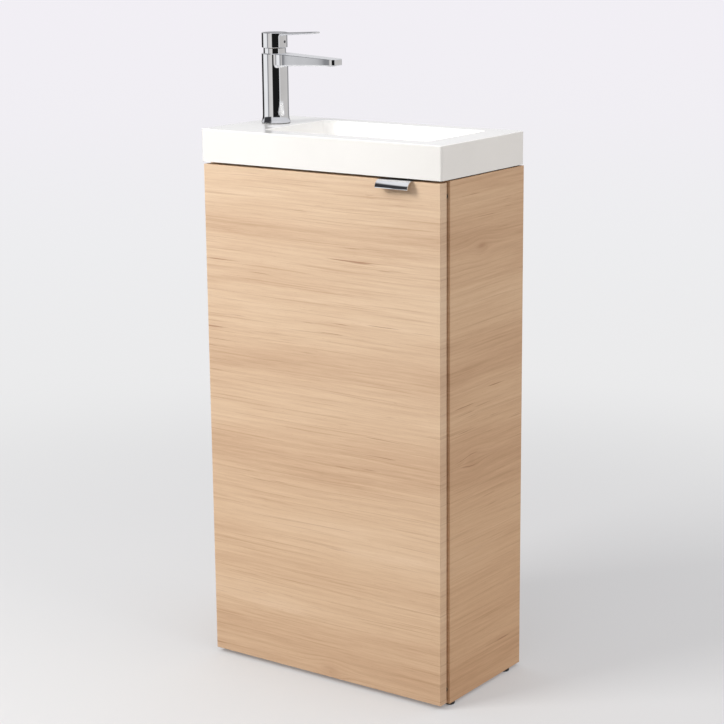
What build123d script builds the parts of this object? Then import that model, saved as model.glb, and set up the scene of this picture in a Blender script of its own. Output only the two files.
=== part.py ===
"""Cloakroom vanity unit: a narrow floor-standing cabinet with a ceramic basin, a lever tap and one door.

Millimetres, +Z up. The unit stands on z = 0 with its back towards +Y and its door towards -Y.
The origin is under the middle of the whole unit, handle included.
"""
from build123d import *
import os
from math import radians, tan

# Overall sizes
UNIT_WIDTH = 440
BASIN_DEPTH = 225
RIM_HEIGHT = 850
BASIN_EDGE = 50
FOOT_HEIGHT = 5
SEALANT = 2
BOARD = 16
FIT_GAP = 0.3

# Door
DOOR_THICKNESS = 18
DOOR_REVEAL = 3
DOOR_GAP = 3
DOOR_TOP_GAP = 2
DOOR_BOTTOM_GAP = 2
BASIN_OVERHANG = 1
DOOR_BACK_ROUND = 2
DOOR_FRONT_ROUND = 0.8

# Cabinet boards
RAIL_HEIGHT = 60
BACK_RAIL_HEIGHT = 80
SHELF_HEIGHT = 380
SHELF_SIDE_GAP = 1
SHELF_SETBACK = 20
SHELF_BACK_GAP = 4
SHELF_NOTCH_WIDTH = 130
SHELF_NOTCH_DEPTH = 62
SHELF_NOTCH_ROUND = 8
PIN_HOLE = 5
PIN_HOLE_DEPTH = 10
PIN_HOLE_PITCH = 32
PIN_HOLE_STEPS = 2
SYSTEM_LINE = 37
PIN_LENGTH = 18
PIN_COLLAR = 8
PIN_COLLAR_THICKNESS = 1.5
WALL_SCREW_HOLE = 6
WALL_SCREW_SPACING = 320

# Flat-pack fittings
CAM_DIAMETER = 15
CAM_DEPTH = 12.5
CAM_SETBACK = 24
CAM_SLOT = 2
CAM_SLOT_LENGTH = 9
CAM_SLOT_DEPTH = 1.5
BOLT_DIAMETER = 6
BOLT_HEAD = 7
BOLT_WAIST = 3.6
BOLT_IN_SIDE = 11
DOWEL_DIAMETER = 8
DOWEL_LENGTH = 30
DOWEL_IN_SIDE = 11
FITTING_SPACING = 32
FLOOR_FITTING_INSET = 60

# Feet
GLIDE_DIAMETER = 16
GLIDE_SPIKE = 4
GLIDE_SPIKE_LENGTH = 14
GLIDE_INSET = 33
GLIDE_BEVEL = 1

# Concealed hinges
HINGE_FROM_DOOR_END = 100
PIVOT_FROM_DOOR_EDGE = 8
PIVOT_DEPTH = 7.5
CUP_EDGE_DISTANCE = 3
CUP_DIAMETER = 35
CUP_WALL = 1
CUP_DEPTH = 11.5
CUP_FLANGE = 1
CUP_COLLAR = 36
CUP_WING_LENGTH = 61
CUP_WING_WIDTH = 13
CUP_SCREW_SPACING = 48
HINGE_PIN = 3
PIN_CLEARANCE = 0.05
EYE_WALL = 0.9
ARM_WIDTH = 12
ARM_THICKNESS = 2
ARM_REACH = 12
ARM_LENGTH = 48
PLATE_THICKNESS = 5
PLATE_WIDTH = 16
PLATE_SETBACK = 9
PLATE_LENGTH = 44
PLATE_ROUND = 1
PLATE_WING = 52
PLATE_WING_THICKNESS = 2
PLATE_SCREW_SPACING = 32
SCREW = 4
SCREW_HEAD = 7
SCREW_HEAD_HEIGHT = 2
SCREW_SLOT = 1
SCREW_LENGTH = 13
ARM_SCREW_FROM_FRONT = 32
ARM_SCREW_DEPTH = 4.5

# Door handle
HANDLE_WIDTH = 57
HANDLE_FROM_EDGE = 50
HANDLE_REACH = 14
HANDLE_DROP = 11
HANDLE_THICKNESS = 1.5
HANDLE_FLANGE = 15
HANDLE_LIP_ROUND = 0.6
HANDLE_SCREW_SPACING = 32
HANDLE_SCREW = 3
HANDLE_SCREW_HEAD = 5.6
HANDLE_SCREW_LENGTH = 16
BUMPER_DIAMETER = 9
BUMPER_HEIGHT = 2.8
BUMPER_INSET = 20
BUMPER_ROUND = 1

# Basin
RIM_RIGHT = 46
RIM_FRONT = 35
RIM_BACK = 28
TAP_DECK = 92
BOWL_DEPTH = 75
BOWL_WALL = 7
BOWL_CORNER = 12
BOWL_FLOOR_CORNER = 22
BOWL_FLOOR_ROUND = 10
BOWL_RIM_ROUND = 1.6
DRAFT = 13
DECK_DRAFT = 25
DECK_THICKNESS = 12
SKIRT_SIDE = 18
SKIRT_BACK = 14
BASIN_CORNER = 4
BASIN_EDGE_ROUND = 1.5
BEAD_INSET = 4
BEAD_WIDTH = 8
BEAD_CORNER = 3

# Waste and plug
WASTE_HOLE = 45
WASTE_THREAD = 41.5
WASTE_BORE = 35
WASTE_FLANGE = 62
WASTE_FLANGE_HEIGHT = 2.5
WASTE_FLANGE_ROLL = 1.5
WASTE_MOUTH_BEVEL = 1
WASTE_RECESS = 2.5
WASTE_LENGTH = 62
WASTE_SEAL = 1.5
WASTE_LOWER_SEAL = 4
BACKNUT_WIDTH = 54
BACKNUT_HEIGHT = 8
PLUG_DIAMETER = 60
PLUG_DOME = 5
PLUG_STEM = 8
PLUG_STEM_BEVEL = 0.8
PLUG_BOSS = 14
PLUG_RIM = 1.5
PLUG_THREAD = 2.5
PLUG_SEAL = 2.5
GUIDE_DIAMETER = 16
GUIDE_HEIGHT = 30
GUIDE_BRIDGE = 4
GUIDE_DROP = 42
GUIDE_SHOULDER = 2
SLIDE_CLEARANCE = 0.08

# Bottle trap
TRAP_TUBE = 32
TRAP_TUBE_WALL = 2
TRAP_NUT_WIDTH = 50
TRAP_NUT_HEIGHT = 20
TRAP_NUT_LIP = 3
NUT_GROOVE = 3
NUT_GROOVES = 12
TRAP_TUBE_FLANGE = 3
TRAP_BOTTLE = 60
TRAP_BOTTLE_WALL = 2.5
TRAP_BODY_HEIGHT = 56
TRAP_CUP_HEIGHT = 48
TRAP_CUP_GRIP = 10
TRAP_CUP_ROUND = 8
TRAP_DIP = 28
TRAP_OUTLET_DROP = 26
TRAP_TAIL = 34
PIPE_BORE = 32.4
PIPE_SOCKET = 24
TRAP_OUTLET_REACH = 58

# Tap
TAP_FROM_EDGE = 47
TAP_FROM_BACK = 98
TAP_DIAMETER = 41
TAP_FLARE = 46
TAP_FLARE_HEIGHT = 7
TAP_FLARE_EDGE = 1.5
TAP_BEVEL = 0.8
TAP_HEIGHT = 108
TAP_NECK = 35
TAP_NECK_HEIGHT = 8
NECK_STEP = 0.5
TAP_GASKET = 0.8
TAP_HOLE = 35
CAP_BOTTOM = 117
CAP_TOP = 140
CAP_DIAMETER = 40
CAP_WALL = 2
CAP_ROOF = 4
CAP_ROUND = 1.2
LEVER_REACH = 84
LEVER_WIDTH = 22
LEVER_TIP_WIDTH = 18
LEVER_THICKNESS = 3.8
LEVER_TIP_THICKNESS = 3
LEVER_TIP_ROUND = 3.5
LEVER_RISE = 3
SPOUT_REACH = 123
SPOUT_ROOT = 4
SPOUT_ROOT_HEIGHT = 17.5
SPOUT_TIP_HEIGHT = 11
SPOUT_TOP_DROP = 4
SPOUT_WIDTH = 30
SPOUT_TIP_WIDTH = 25
SPOUT_ROUND = 4
SPOUT_TIP_ROUND = 1.2
AERATOR_DIAMETER = 16
AERATOR_HEIGHT = 7
AERATOR_PROUD = 1
AERATOR_FROM_TIP = 14
AERATOR_RIM = 1.5
AERATOR_RECESS = 1.5
JETS = 6
JET_CIRCLE = 7.6
JET_DIAMETER = 1.6
CARTRIDGE_DIAMETER = 30
CARTRIDGE_HEIGHT = 38
CARTRIDGE_DROP = 2
CARTRIDGE_PORT = 4
NUT_THREAD_LENGTH = 12
CARRIER_DIAMETER = 18
CARRIER_HEIGHT = 14
CARRIER_ABOVE_PIVOT = 3.5
CARRIER_SLOT_DEPTH = 9
NUT_BORE = 20.4
PIVOT_HEIGHT = 112
PIVOT_PIN = 3
STEM_WIDTH = 7
STEM_BEVEL = 0.6
STEM_TOP = 133
STEM_BOTTOM = 105
STEM_SOCKET_WALL = 3.5
STEM_SOCKET_BOTTOM = 122
GRUB_SCREW = 4
GRUB_KEY = 2
GRUB_KEY_DEPTH = 1.5
GRUB_HEIGHT = 126
INDICATOR_DIAMETER = 5
INDICATOR_ROUND = 0.4
WATERWAY = 8
INLET_THREAD = 10
INLET_DEPTH = 14
INLET_SPACING = 14
INLET_OFFSET = 6
STUD_DIAMETER = 8
STUD_BEVEL = 0.8
STUD_OFFSET = 11
STUD_LENGTH = 62
STUD_IN_TAP = 12
TAP_RECESS = 32
TAP_RECESS_DEPTH = 18
FIXING_WASHER = 46
FIXING_WASHER_THICKNESS = 3
HOSE_SLOT = 24.4
HOSE_SLOT_OFFSET = 7
FIXING_NUT_WIDTH = 13
FIXING_NUT_HEIGHT = 6.5

# Planes that the pieces share, worked out from the sizes above
HALF = UNIT_WIDTH / 2
BACK = (BASIN_DEPTH - BASIN_OVERHANG + HANDLE_REACH) / 2
BASIN_FRONT = BACK - BASIN_DEPTH
DOOR_FRONT = BASIN_FRONT + BASIN_OVERHANG
DOOR_BACK = DOOR_FRONT + DOOR_THICKNESS
CARCASS_FRONT = DOOR_BACK + DOOR_GAP
BASIN_BOTTOM = RIM_HEIGHT - BASIN_EDGE
CARCASS_TOP = BASIN_BOTTOM - SEALANT
CARCASS_BOTTOM = FOOT_HEIGHT
DOOR_TOP = CARCASS_TOP - DOOR_TOP_GAP
DOOR_BOTTOM = CARCASS_BOTTOM + DOOR_BOTTOM_GAP
DOOR_HALF = HALF - DOOR_REVEAL
INSIDE = HALF - BOARD
FLOOR_TOP = CARCASS_BOTTOM + BOARD
HINGE_HEIGHTS = (DOOR_BOTTOM + HINGE_FROM_DOOR_END, DOOR_TOP - HINGE_FROM_DOOR_END)
PIVOT_X = -DOOR_HALF + PIVOT_FROM_DOOR_EDGE
PIVOT_Y = DOOR_BACK - PIVOT_DEPTH
CUP_X = -DOOR_HALF + CUP_EDGE_DISTANCE + CUP_DIAMETER / 2
BOWL_LEFT = -HALF + TAP_DECK
BOWL_RIGHT = HALF - RIM_RIGHT
BOWL_FRONT = BASIN_FRONT + RIM_FRONT
BOWL_BACK = BACK - RIM_BACK
BOWL_FLOOR = RIM_HEIGHT - BOWL_DEPTH
BASIN_LOWEST = BOWL_FLOOR - BOWL_WALL
WASTE_X = (BOWL_LEFT + BOWL_RIGHT + BOWL_DEPTH * (tan(radians(DECK_DRAFT)) - tan(radians(DRAFT)))) / 2
WASTE_Y = (BOWL_FRONT + BOWL_BACK) / 2
RECESS_FLOOR = BOWL_FLOOR - WASTE_RECESS
FLANGE_BOTTOM = RECESS_FLOOR + WASTE_SEAL
WASTE_TOP = FLANGE_BOTTOM + WASTE_FLANGE_HEIGHT
WASTE_BOTTOM = WASTE_TOP - WASTE_LENGTH
GUIDE_BOTTOM = WASTE_TOP - GUIDE_DROP
PLUG_BOTTOM = WASTE_TOP + FIT_GAP
TRAP_TOP = WASTE_BOTTOM - TRAP_TAIL
TRAP_SPLIT = TRAP_TOP - TRAP_BODY_HEIGHT
TRAP_OUTLET_Z = TRAP_TOP - TRAP_OUTLET_DROP
TAP_X = -HALF + TAP_FROM_EDGE
TAP_Y = BACK - TAP_FROM_BACK
TAP_FOOT = RIM_HEIGHT + TAP_GASKET
TAP_TOP = RIM_HEIGHT + TAP_HEIGHT
TAP_RECESS_ROOF = TAP_FOOT + TAP_RECESS_DEPTH
CARTRIDGE_TOP = TAP_TOP - CARTRIDGE_DROP
CARTRIDGE_FLOOR = CARTRIDGE_TOP - CARTRIDGE_HEIGHT
PIVOT_Z = RIM_HEIGHT + PIVOT_HEIGHT
CARRIER_TOP = PIVOT_Z + CARRIER_ABOVE_PIVOT
CARRIER_FLOOR = CARRIER_TOP - CARRIER_HEIGHT
CARRIER_SLOT_FLOOR = PIVOT_Z - CARRIER_SLOT_DEPTH
STEM_LOW = RIM_HEIGHT + STEM_BOTTOM
STEM_HIGH = RIM_HEIGHT + STEM_TOP
SOCKET_BOTTOM = RIM_HEIGHT + STEM_SOCKET_BOTTOM
GRUB_Z = RIM_HEIGHT + GRUB_HEIGHT
AERATOR_X = TAP_X + SPOUT_REACH - AERATOR_FROM_TIP
SPOUT_TIP_BOTTOM = TAP_TOP - SPOUT_TOP_DROP - SPOUT_TIP_HEIGHT
AERATOR_TOP = SPOUT_TIP_BOTTOM - AERATOR_PROUD + AERATOR_HEIGHT
WATERWAY_Z = AERATOR_TOP - 1
PLATE_TOP = -INSIDE + PLATE_THICKNESS
ARM_SCREW_Y = CARCASS_FRONT + ARM_SCREW_FROM_FRONT
ARM_SCREW_LENGTH = ARM_THICKNESS + ARM_SCREW_DEPTH - 1
HANDLE_LEFT = HALF - HANDLE_FROM_EDGE - HANDLE_WIDTH
HANDLE_SCREW_Y = DOOR_FRONT + DOOR_THICKNESS / 2
RAIL_FITTING_LINES = {
    "front": CARCASS_FRONT + BOARD / 2,
    "back": BACK - BOARD / 2,
}


def block(x0, x1, y0, y1, z0, z1):
    """A board or bar between two opposite corners."""
    centre = ((x0 + x1) / 2, (y0 + y1) / 2, (z0 + z1) / 2)
    return Pos(*centre) * Box(x1 - x0, y1 - y0, z1 - z0)


def rod(x, y, z0, z1, diameter):
    """An upright cylinder."""
    return Pos(x, y, (z0 + z1) / 2) * Cylinder(diameter / 2, z1 - z0)


def rod_x(x0, x1, y, z, diameter):
    """A cylinder that lies along X."""
    return Pos((x0 + x1) / 2, y, z) * Rot(0, 90, 0) * Cylinder(diameter / 2, abs(x1 - x0))


def rod_y(x, y0, y1, z, diameter):
    """A cylinder that lies along Y."""
    return Pos(x, (y0 + y1) / 2, z) * Rot(90, 0, 0) * Cylinder(diameter / 2, abs(y1 - y0))


def turned(points, x=0, y=0):
    """A turned piece from its half outline, given as radius and height."""
    outline = Plane.XZ * make_face(Polyline(*points, close=True))
    return Pos(x, y, 0) * revolve(outline, Axis.Z)


def hexagon(x, y, z0, z1, across_flats):
    """A six-sided nut blank."""
    outline = RegularPolygon(across_flats / 2, 6, major_radius=False)
    return Pos(x, y, z0) * extrude(outline, z1 - z0)


def rounded_frame(x0, x1, y0, y1, corner):
    """A rectangle with round corners, flat on the XY plane."""
    return Pos((x0 + x1) / 2, (y0 + y1) / 2) * RectangleRounded(x1 - x0, y1 - y0, corner)


def fitting_places():
    """Where the inner boards meet the sides: the board's kind, then y and z of its bolt and of its dowel."""
    floor_middle = CARCASS_BOTTOM + BOARD / 2
    places = []
    for y in (CARCASS_FRONT + FLOOR_FITTING_INSET, BACK - FLOOR_FITTING_INSET):
        inward = FITTING_SPACING if y < (CARCASS_FRONT + BACK) / 2 else -FITTING_SPACING
        places.append(("bottom", y, floor_middle, y + inward, floor_middle))
    rail_z = CARCASS_TOP - RAIL_HEIGHT / 2
    half_pitch = FITTING_SPACING / 2
    front_y = RAIL_FITTING_LINES["front"]
    places.append(("front", front_y, rail_z - half_pitch, front_y, rail_z + half_pitch))
    back_y = RAIL_FITTING_LINES["back"]
    for middle in (CARCASS_TOP - BACK_RAIL_HEIGHT / 2, FLOOR_TOP + BACK_RAIL_HEIGHT / 2):
        places.append(("back", back_y, middle - half_pitch, back_y, middle + half_pitch))
    return places


def cam_recess(kind, side, y, z, extra=0):
    """The round pocket for one cam, in the face of its board that nobody sees."""
    x = side * (INSIDE - CAM_SETBACK)
    size = CAM_DIAMETER + extra
    if kind == "bottom":
        return rod(x, y, CARCASS_BOTTOM, CARCASS_BOTTOM + CAM_DEPTH, size)
    if kind == "front":
        return rod_y(x, CARCASS_FRONT + BOARD - CAM_DEPTH, CARCASS_FRONT + BOARD, z, size)
    return rod_y(x, BACK - CAM_DEPTH, BACK, z, size)


def fitting_holes(board, low, high):
    """Holes for the cams, bolts and dowels at both ends of a board that lies between two heights."""
    holes = []
    for kind, bolt_y, bolt_z, dowel_y, dowel_z in fitting_places():
        if kind != board or not low < bolt_z < high:
            continue
        for side in (-1, 1):
            end = side * INSIDE
            holes.append(cam_recess(kind, side, bolt_y, bolt_z))
            holes.append(rod_x(end - side * CAM_SETBACK, end, bolt_y, bolt_z, BOLT_HEAD))
            dowel_end = end - side * (DOWEL_LENGTH - DOWEL_IN_SIDE + FIT_GAP)
            holes.append(rod_x(dowel_end, end, dowel_y, dowel_z, DOWEL_DIAMETER + FIT_GAP))
    return holes


def side_panel(side):
    """A side board: full height and depth, drilled on its inner face."""
    outer = side * HALF
    inner = side * INSIDE
    panel = block(min(outer, inner), max(outer, inner), CARCASS_FRONT, BACK, CARCASS_BOTTOM, CARCASS_TOP)
    holes = []
    for kind, bolt_y, bolt_z, dowel_y, dowel_z in fitting_places():
        bolt_end = inner + side * (BOLT_IN_SIDE + FIT_GAP)
        dowel_end = inner + side * (DOWEL_IN_SIDE + FIT_GAP)
        holes.append(rod_x(inner, bolt_end, bolt_y, bolt_z, BOLT_DIAMETER + FIT_GAP))
        holes.append(rod_x(inner, dowel_end, dowel_y, dowel_z, DOWEL_DIAMETER + FIT_GAP))
    for y, z in shelf_pin_places(all_holes=True):
        holes.append(rod_x(inner, inner + side * PIN_HOLE_DEPTH, y, z, PIN_HOLE))
    for y in glide_lines():
        holes.append(rod(side * (HALF - BOARD / 2), y, CARCASS_BOTTOM,
                         CARCASS_BOTTOM + GLIDE_SPIKE_LENGTH + FIT_GAP, GLIDE_SPIKE + FIT_GAP))
    if side < 0:
        end = inner - (SCREW_LENGTH - PLATE_WING_THICKNESS + FIT_GAP)
        for z in HINGE_HEIGHTS:
            for offset in (-PLATE_SCREW_SPACING / 2, PLATE_SCREW_SPACING / 2):
                holes.append(rod_x(inner, end, CARCASS_FRONT + SYSTEM_LINE, z + offset, SCREW + FIT_GAP))
    return panel - holes


def bottom_panel():
    """The cabinet floor, between the sides."""
    board = block(-INSIDE, INSIDE, CARCASS_FRONT, BACK, CARCASS_BOTTOM, FLOOR_TOP)
    return board - fitting_holes("bottom", CARCASS_BOTTOM, FLOOR_TOP)


def top_front_rail():
    """The upright rail across the front, under the basin's edge."""
    bottom = CARCASS_TOP - RAIL_HEIGHT
    rail = block(-INSIDE, INSIDE, CARCASS_FRONT, CARCASS_FRONT + BOARD, bottom, CARCASS_TOP)
    return rail - fitting_holes("front", bottom, CARCASS_TOP)


def back_rail(bottom, wall_holes):
    """An upright rail across the back, drilled for wall screws where it carries the unit."""
    top = bottom + BACK_RAIL_HEIGHT
    rail = block(-INSIDE, INSIDE, BACK - BOARD, BACK, bottom, top)
    cuts = fitting_holes("back", bottom, top)
    if wall_holes:
        for side in (-1, 1):
            cuts.append(rod_y(side * WALL_SCREW_SPACING / 2, BACK - BOARD, BACK,
                              (bottom + top) / 2, WALL_SCREW_HOLE))
    return rail - cuts


def shelf_pin_places(all_holes=False):
    """The y and z of the shelf pins, or of every hole they could go in."""
    steps = range(-PIN_HOLE_STEPS, PIN_HOLE_STEPS + 1) if all_holes else (0,)
    shelf_front = CARCASS_FRONT + SHELF_SETBACK
    lines = (shelf_front + SYSTEM_LINE, BACK - SYSTEM_LINE)
    centre = SHELF_HEIGHT - (PIN_HOLE - FIT_GAP) / 2
    return [(y, centre + step * PIN_HOLE_PITCH) for y in lines for step in steps]


def shelf():
    """A loose shelf on four pins, cut away at the back for the trap and its pipe."""
    half = INSIDE - SHELF_SIDE_GAP
    back = BACK - SHELF_BACK_GAP
    board = block(-half, half, CARCASS_FRONT + SHELF_SETBACK, back, SHELF_HEIGHT, SHELF_HEIGHT + BOARD)
    notch = block(WASTE_X - SHELF_NOTCH_WIDTH / 2, WASTE_X + SHELF_NOTCH_WIDTH / 2,
                  back - SHELF_NOTCH_DEPTH, back + 1, SHELF_HEIGHT - 1, SHELF_HEIGHT + BOARD + 1)
    board = board - notch
    corners = board.edges().filter_by(Axis.Z).filter_by_position(
        Axis.Y, back - SHELF_NOTCH_DEPTH - 1, back - SHELF_NOTCH_DEPTH + 1)
    return fillet(corners, SHELF_NOTCH_ROUND)


def shelf_pins():
    """Four steel pins with a small collar against the side."""
    pins = []
    for y, z in shelf_pin_places():
        for side in (-1, 1):
            start = side * (INSIDE + PIN_HOLE_DEPTH - 1)
            end = start - side * PIN_LENGTH
            pin = rod_x(start, end, y, z, PIN_HOLE - FIT_GAP)
            ring = rod_x(side * INSIDE, side * (INSIDE - PIN_COLLAR_THICKNESS), y, z, PIN_COLLAR)
            below_shelf = block(-HALF, HALF, y - PIN_COLLAR, y + PIN_COLLAR, z - PIN_COLLAR, SHELF_HEIGHT)
            pins.append((pin + ring) & below_shelf)
    return pins


def cam_locks():
    """Zinc cams that draw each bolt in, with a cross slot and a window for the bolt's head."""
    cams = []
    window = BOLT_HEAD + FIT_GAP
    for kind, y, z, dowel_y, dowel_z in fitting_places():
        for side in (-1, 1):
            x = side * (INSIDE - CAM_SETBACK)
            cam = cam_recess(kind, side, y, z, -FIT_GAP)
            if kind == "bottom":
                face = Plane(origin=(x, y, CARCASS_BOTTOM), z_dir=(0, 0, -1))
            else:
                outside = CARCASS_FRONT + BOARD if kind == "front" else BACK
                face = Plane(origin=(x, outside, z), z_dir=(0, 1, 0))
            bar = Box(CAM_SLOT_LENGTH, CAM_SLOT, 2 * CAM_SLOT_DEPTH)
            cross = [face * Rot(0, 0, turn) * bar for turn in (0, 90)]
            tunnel = rod_x(x, x + side * CAM_DIAMETER, y, z, window)
            cams.append(cam - tunnel - Pos(x, y, z) * Sphere(window / 2) - cross)
    return cams


def cam_bolts():
    """Steel bolts from the side panels into the cams: a threaded end, a thin waist and a round head."""
    bolts = []
    for kind, y, z, dowel_y, dowel_z in fitting_places():
        for side in (-1, 1):
            inner = side * INSIDE
            head = inner - side * CAM_SETBACK
            threaded = rod_x(inner + side * BOLT_IN_SIDE, inner, y, z, BOLT_DIAMETER)
            shank = rod_x(inner, head, y, z, BOLT_WAIST)
            ball = Pos(head, y, z) * Rot(0, 90, 0) * Sphere(BOLT_HEAD / 2 - FIT_GAP)
            bolts.append(threaded + shank + ball)
    return bolts


def wood_dowels():
    """Beech dowels beside each bolt."""
    dowels = []
    for kind, bolt_y, bolt_z, y, z in fitting_places():
        for side in (-1, 1):
            start = side * (INSIDE + DOWEL_IN_SIDE)
            dowels.append(rod_x(start, start - side * DOWEL_LENGTH, y, z, DOWEL_DIAMETER))
    return dowels


def glide_lines():
    """The y of the feet, front and back."""
    return (DOOR_FRONT + GLIDE_INSET, BACK - GLIDE_INSET)


def floor_glides():
    """Nail-in plastic glides under the side panels."""
    glides = []
    for side in (-1, 1):
        for y in glide_lines():
            x = side * (HALF - BOARD / 2)
            pad = rod(x, y, 0, FOOT_HEIGHT, GLIDE_DIAMETER)
            pad = chamfer(pad.edges().filter_by(GeomType.CIRCLE).sort_by(Axis.Z)[0], GLIDE_BEVEL)
            glides.append(pad + rod(x, y, FOOT_HEIGHT, FOOT_HEIGHT + GLIDE_SPIKE_LENGTH, GLIDE_SPIKE))
    return glides


def sealant_bead():
    """A soft bead on top of the cabinet that the basin is bedded on."""
    rings = []
    for inset, corner in ((BEAD_INSET, BEAD_CORNER), (BEAD_INSET + BEAD_WIDTH, BEAD_CORNER / 2)):
        rings.append(rounded_frame(-HALF + inset, HALF - inset, CARCASS_FRONT + inset, BACK - inset, corner))
    return Pos(0, 0, CARCASS_TOP) * extrude(rings[0] - rings[1], SEALANT)


def bowl_form(grow, top, bottom):
    """The tapering inside of the bowl, grown by a wall and cut between two heights."""
    sections = []
    for z in (top, bottom):
        drop = RIM_HEIGHT - z
        narrow = drop * tan(radians(DRAFT)) - grow
        narrow_left = drop * tan(radians(DECK_DRAFT)) - grow
        share = drop / BOWL_DEPTH
        corner = BOWL_CORNER + (BOWL_FLOOR_CORNER - BOWL_CORNER) * share + grow
        sections.append(Pos(0, 0, z) * rounded_frame(BOWL_LEFT + narrow_left, BOWL_RIGHT - narrow,
                                                     BOWL_FRONT + narrow, BOWL_BACK - narrow, corner))
    return loft(sections, ruled=True)


def basin():
    """One ceramic casting: a flat slab with a tap deck, hollow below inside its skirt, and a hanging bowl."""
    slab = block(-HALF, HALF, BASIN_FRONT, BACK, BASIN_BOTTOM, RIM_HEIGHT)
    slab = fillet(slab.edges().filter_by(Axis.Z), BASIN_CORNER)
    top_edges = slab.faces().sort_by(Axis.Z)[-1].edges()
    slab = fillet(top_edges, BASIN_EDGE_ROUND)
    hollow = block(-HALF + SKIRT_SIDE, HALF - SKIRT_SIDE, CARCASS_FRONT + BOARD, BACK - SKIRT_BACK,
                   BASIN_BOTTOM - 1, RIM_HEIGHT - DECK_THICKNESS)
    hollow = fillet(hollow.edges().filter_by(Axis.Z), BASIN_CORNER)
    shell = bowl_form(BOWL_WALL, RIM_HEIGHT - DECK_THICKNESS, BASIN_LOWEST)
    shell = fillet(shell.faces().sort_by(Axis.Z)[0].edges(), BOWL_FLOOR_ROUND + BOWL_WALL / 2)
    inside = bowl_form(0, RIM_HEIGHT, BOWL_FLOOR)
    inside = fillet(inside.faces().sort_by(Axis.Z)[0].edges(), BOWL_FLOOR_ROUND)
    casting = (slab - hollow) + shell - inside
    waste_hole = rod(WASTE_X, WASTE_Y, BASIN_LOWEST - 1, BOWL_FLOOR + 1, WASTE_HOLE)
    recess = rod(WASTE_X, WASTE_Y, RECESS_FLOOR, BOWL_FLOOR + 1, WASTE_FLANGE + 2)
    tap_hole = rod(TAP_X, TAP_Y, BASIN_BOTTOM, RIM_HEIGHT + 1, TAP_HOLE)
    casting = casting - waste_hole - recess - tap_hole
    mouth = [edge for edge in casting.edges() if edge.center().Z > RIM_HEIGHT - 0.01
             and BOWL_LEFT - 1 < edge.center().X < BOWL_RIGHT + 1
             and BOWL_FRONT - 1 < edge.center().Y < BOWL_BACK + 1]
    return fillet(mouth, BOWL_RIM_ROUND)


def waste_body():
    """The chromed waste: a rolled flange in the bowl, and a threaded tube through the basin's floor."""
    flange = WASTE_FLANGE / 2
    tube = WASTE_THREAD / 2
    bore = WASTE_BORE / 2
    low_bore = bore - GUIDE_SHOULDER
    outline = [(bore, WASTE_TOP), (flange - WASTE_FLANGE_ROLL, WASTE_TOP),
               (flange, WASTE_TOP - WASTE_FLANGE_ROLL), (flange, FLANGE_BOTTOM),
               (tube, FLANGE_BOTTOM), (tube, WASTE_BOTTOM), (low_bore, WASTE_BOTTOM), (low_bore, GUIDE_BOTTOM), (bore, GUIDE_BOTTOM)]
    form = turned(outline, WASTE_X, WASTE_Y)
    mouth = form.edges().filter_by(GeomType.CIRCLE).group_by(Axis.Z)[-1].sort_by(SortBy.RADIUS)[0]
    return chamfer(mouth, WASTE_MOUTH_BEVEL)


def waste_ring(inner, outer, low, high):
    """A plain ring round the waste, such as a seal."""
    return rod(WASTE_X, WASTE_Y, low, high, outer) - rod(WASTE_X, WASTE_Y, low - 1, high + 1, inner)


def waste_flange_seal():
    """The rubber ring between flange and bowl floor."""
    return waste_ring(WASTE_HOLE + 2, WASTE_FLANGE - 2, RECESS_FLOOR, FLANGE_BOTTOM)


def waste_lower_seal():
    """The thick rubber washer below the basin."""
    return waste_ring(WASTE_THREAD + FIT_GAP, BACKNUT_WIDTH, BASIN_LOWEST - WASTE_LOWER_SEAL, BASIN_LOWEST)


def waste_backnut():
    """The flat nut that pulls the waste down on its seals."""
    top = BASIN_LOWEST - WASTE_LOWER_SEAL
    blank = hexagon(WASTE_X, WASTE_Y, top - BACKNUT_HEIGHT, top, BACKNUT_WIDTH)
    return blank - rod(WASTE_X, WASTE_Y, top - BACKNUT_HEIGHT - 1, top + 1, WASTE_THREAD + FIT_GAP)


def plug_guide():
    """The bridge inside the waste: a hub for the plug's stem on three arms that stand on a shoulder."""
    reach = WASTE_BORE / 2 - FIT_GAP
    hub = rod(WASTE_X, WASTE_Y, GUIDE_BOTTOM, GUIDE_BOTTOM + GUIDE_HEIGHT, GUIDE_DIAMETER)
    half = GUIDE_BRIDGE / 2
    arm = block(0, reach, -half, half, GUIDE_BOTTOM, GUIDE_BOTTOM + GUIDE_HEIGHT / 3)
    arms = [Pos(WASTE_X, WASTE_Y, 0) * Rot(0, 0, turn) * arm for turn in (90, 210, 330)]
    edge = rod(WASTE_X, WASTE_Y, GUIDE_BOTTOM - 1, GUIDE_BOTTOM + GUIDE_HEIGHT + 1, 2 * reach)
    bore = rod(WASTE_X, WASTE_Y, GUIDE_BOTTOM + GUIDE_BRIDGE, GUIDE_BOTTOM + GUIDE_HEIGHT + 1,
               PLUG_STEM + 2 * SLIDE_CLEARANCE)
    return ((hub + arms) & edge) - bore


def plug_stem():
    """The plug's steel stem, which slides in the bridge."""
    bottom = GUIDE_BOTTOM + GUIDE_BRIDGE + FIT_GAP
    stem = rod(WASTE_X, WASTE_Y, bottom, PLUG_BOTTOM + PLUG_THREAD, PLUG_STEM)
    return chamfer(stem.edges().sort_by(Axis.Z)[0], PLUG_STEM_BEVEL)


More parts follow.
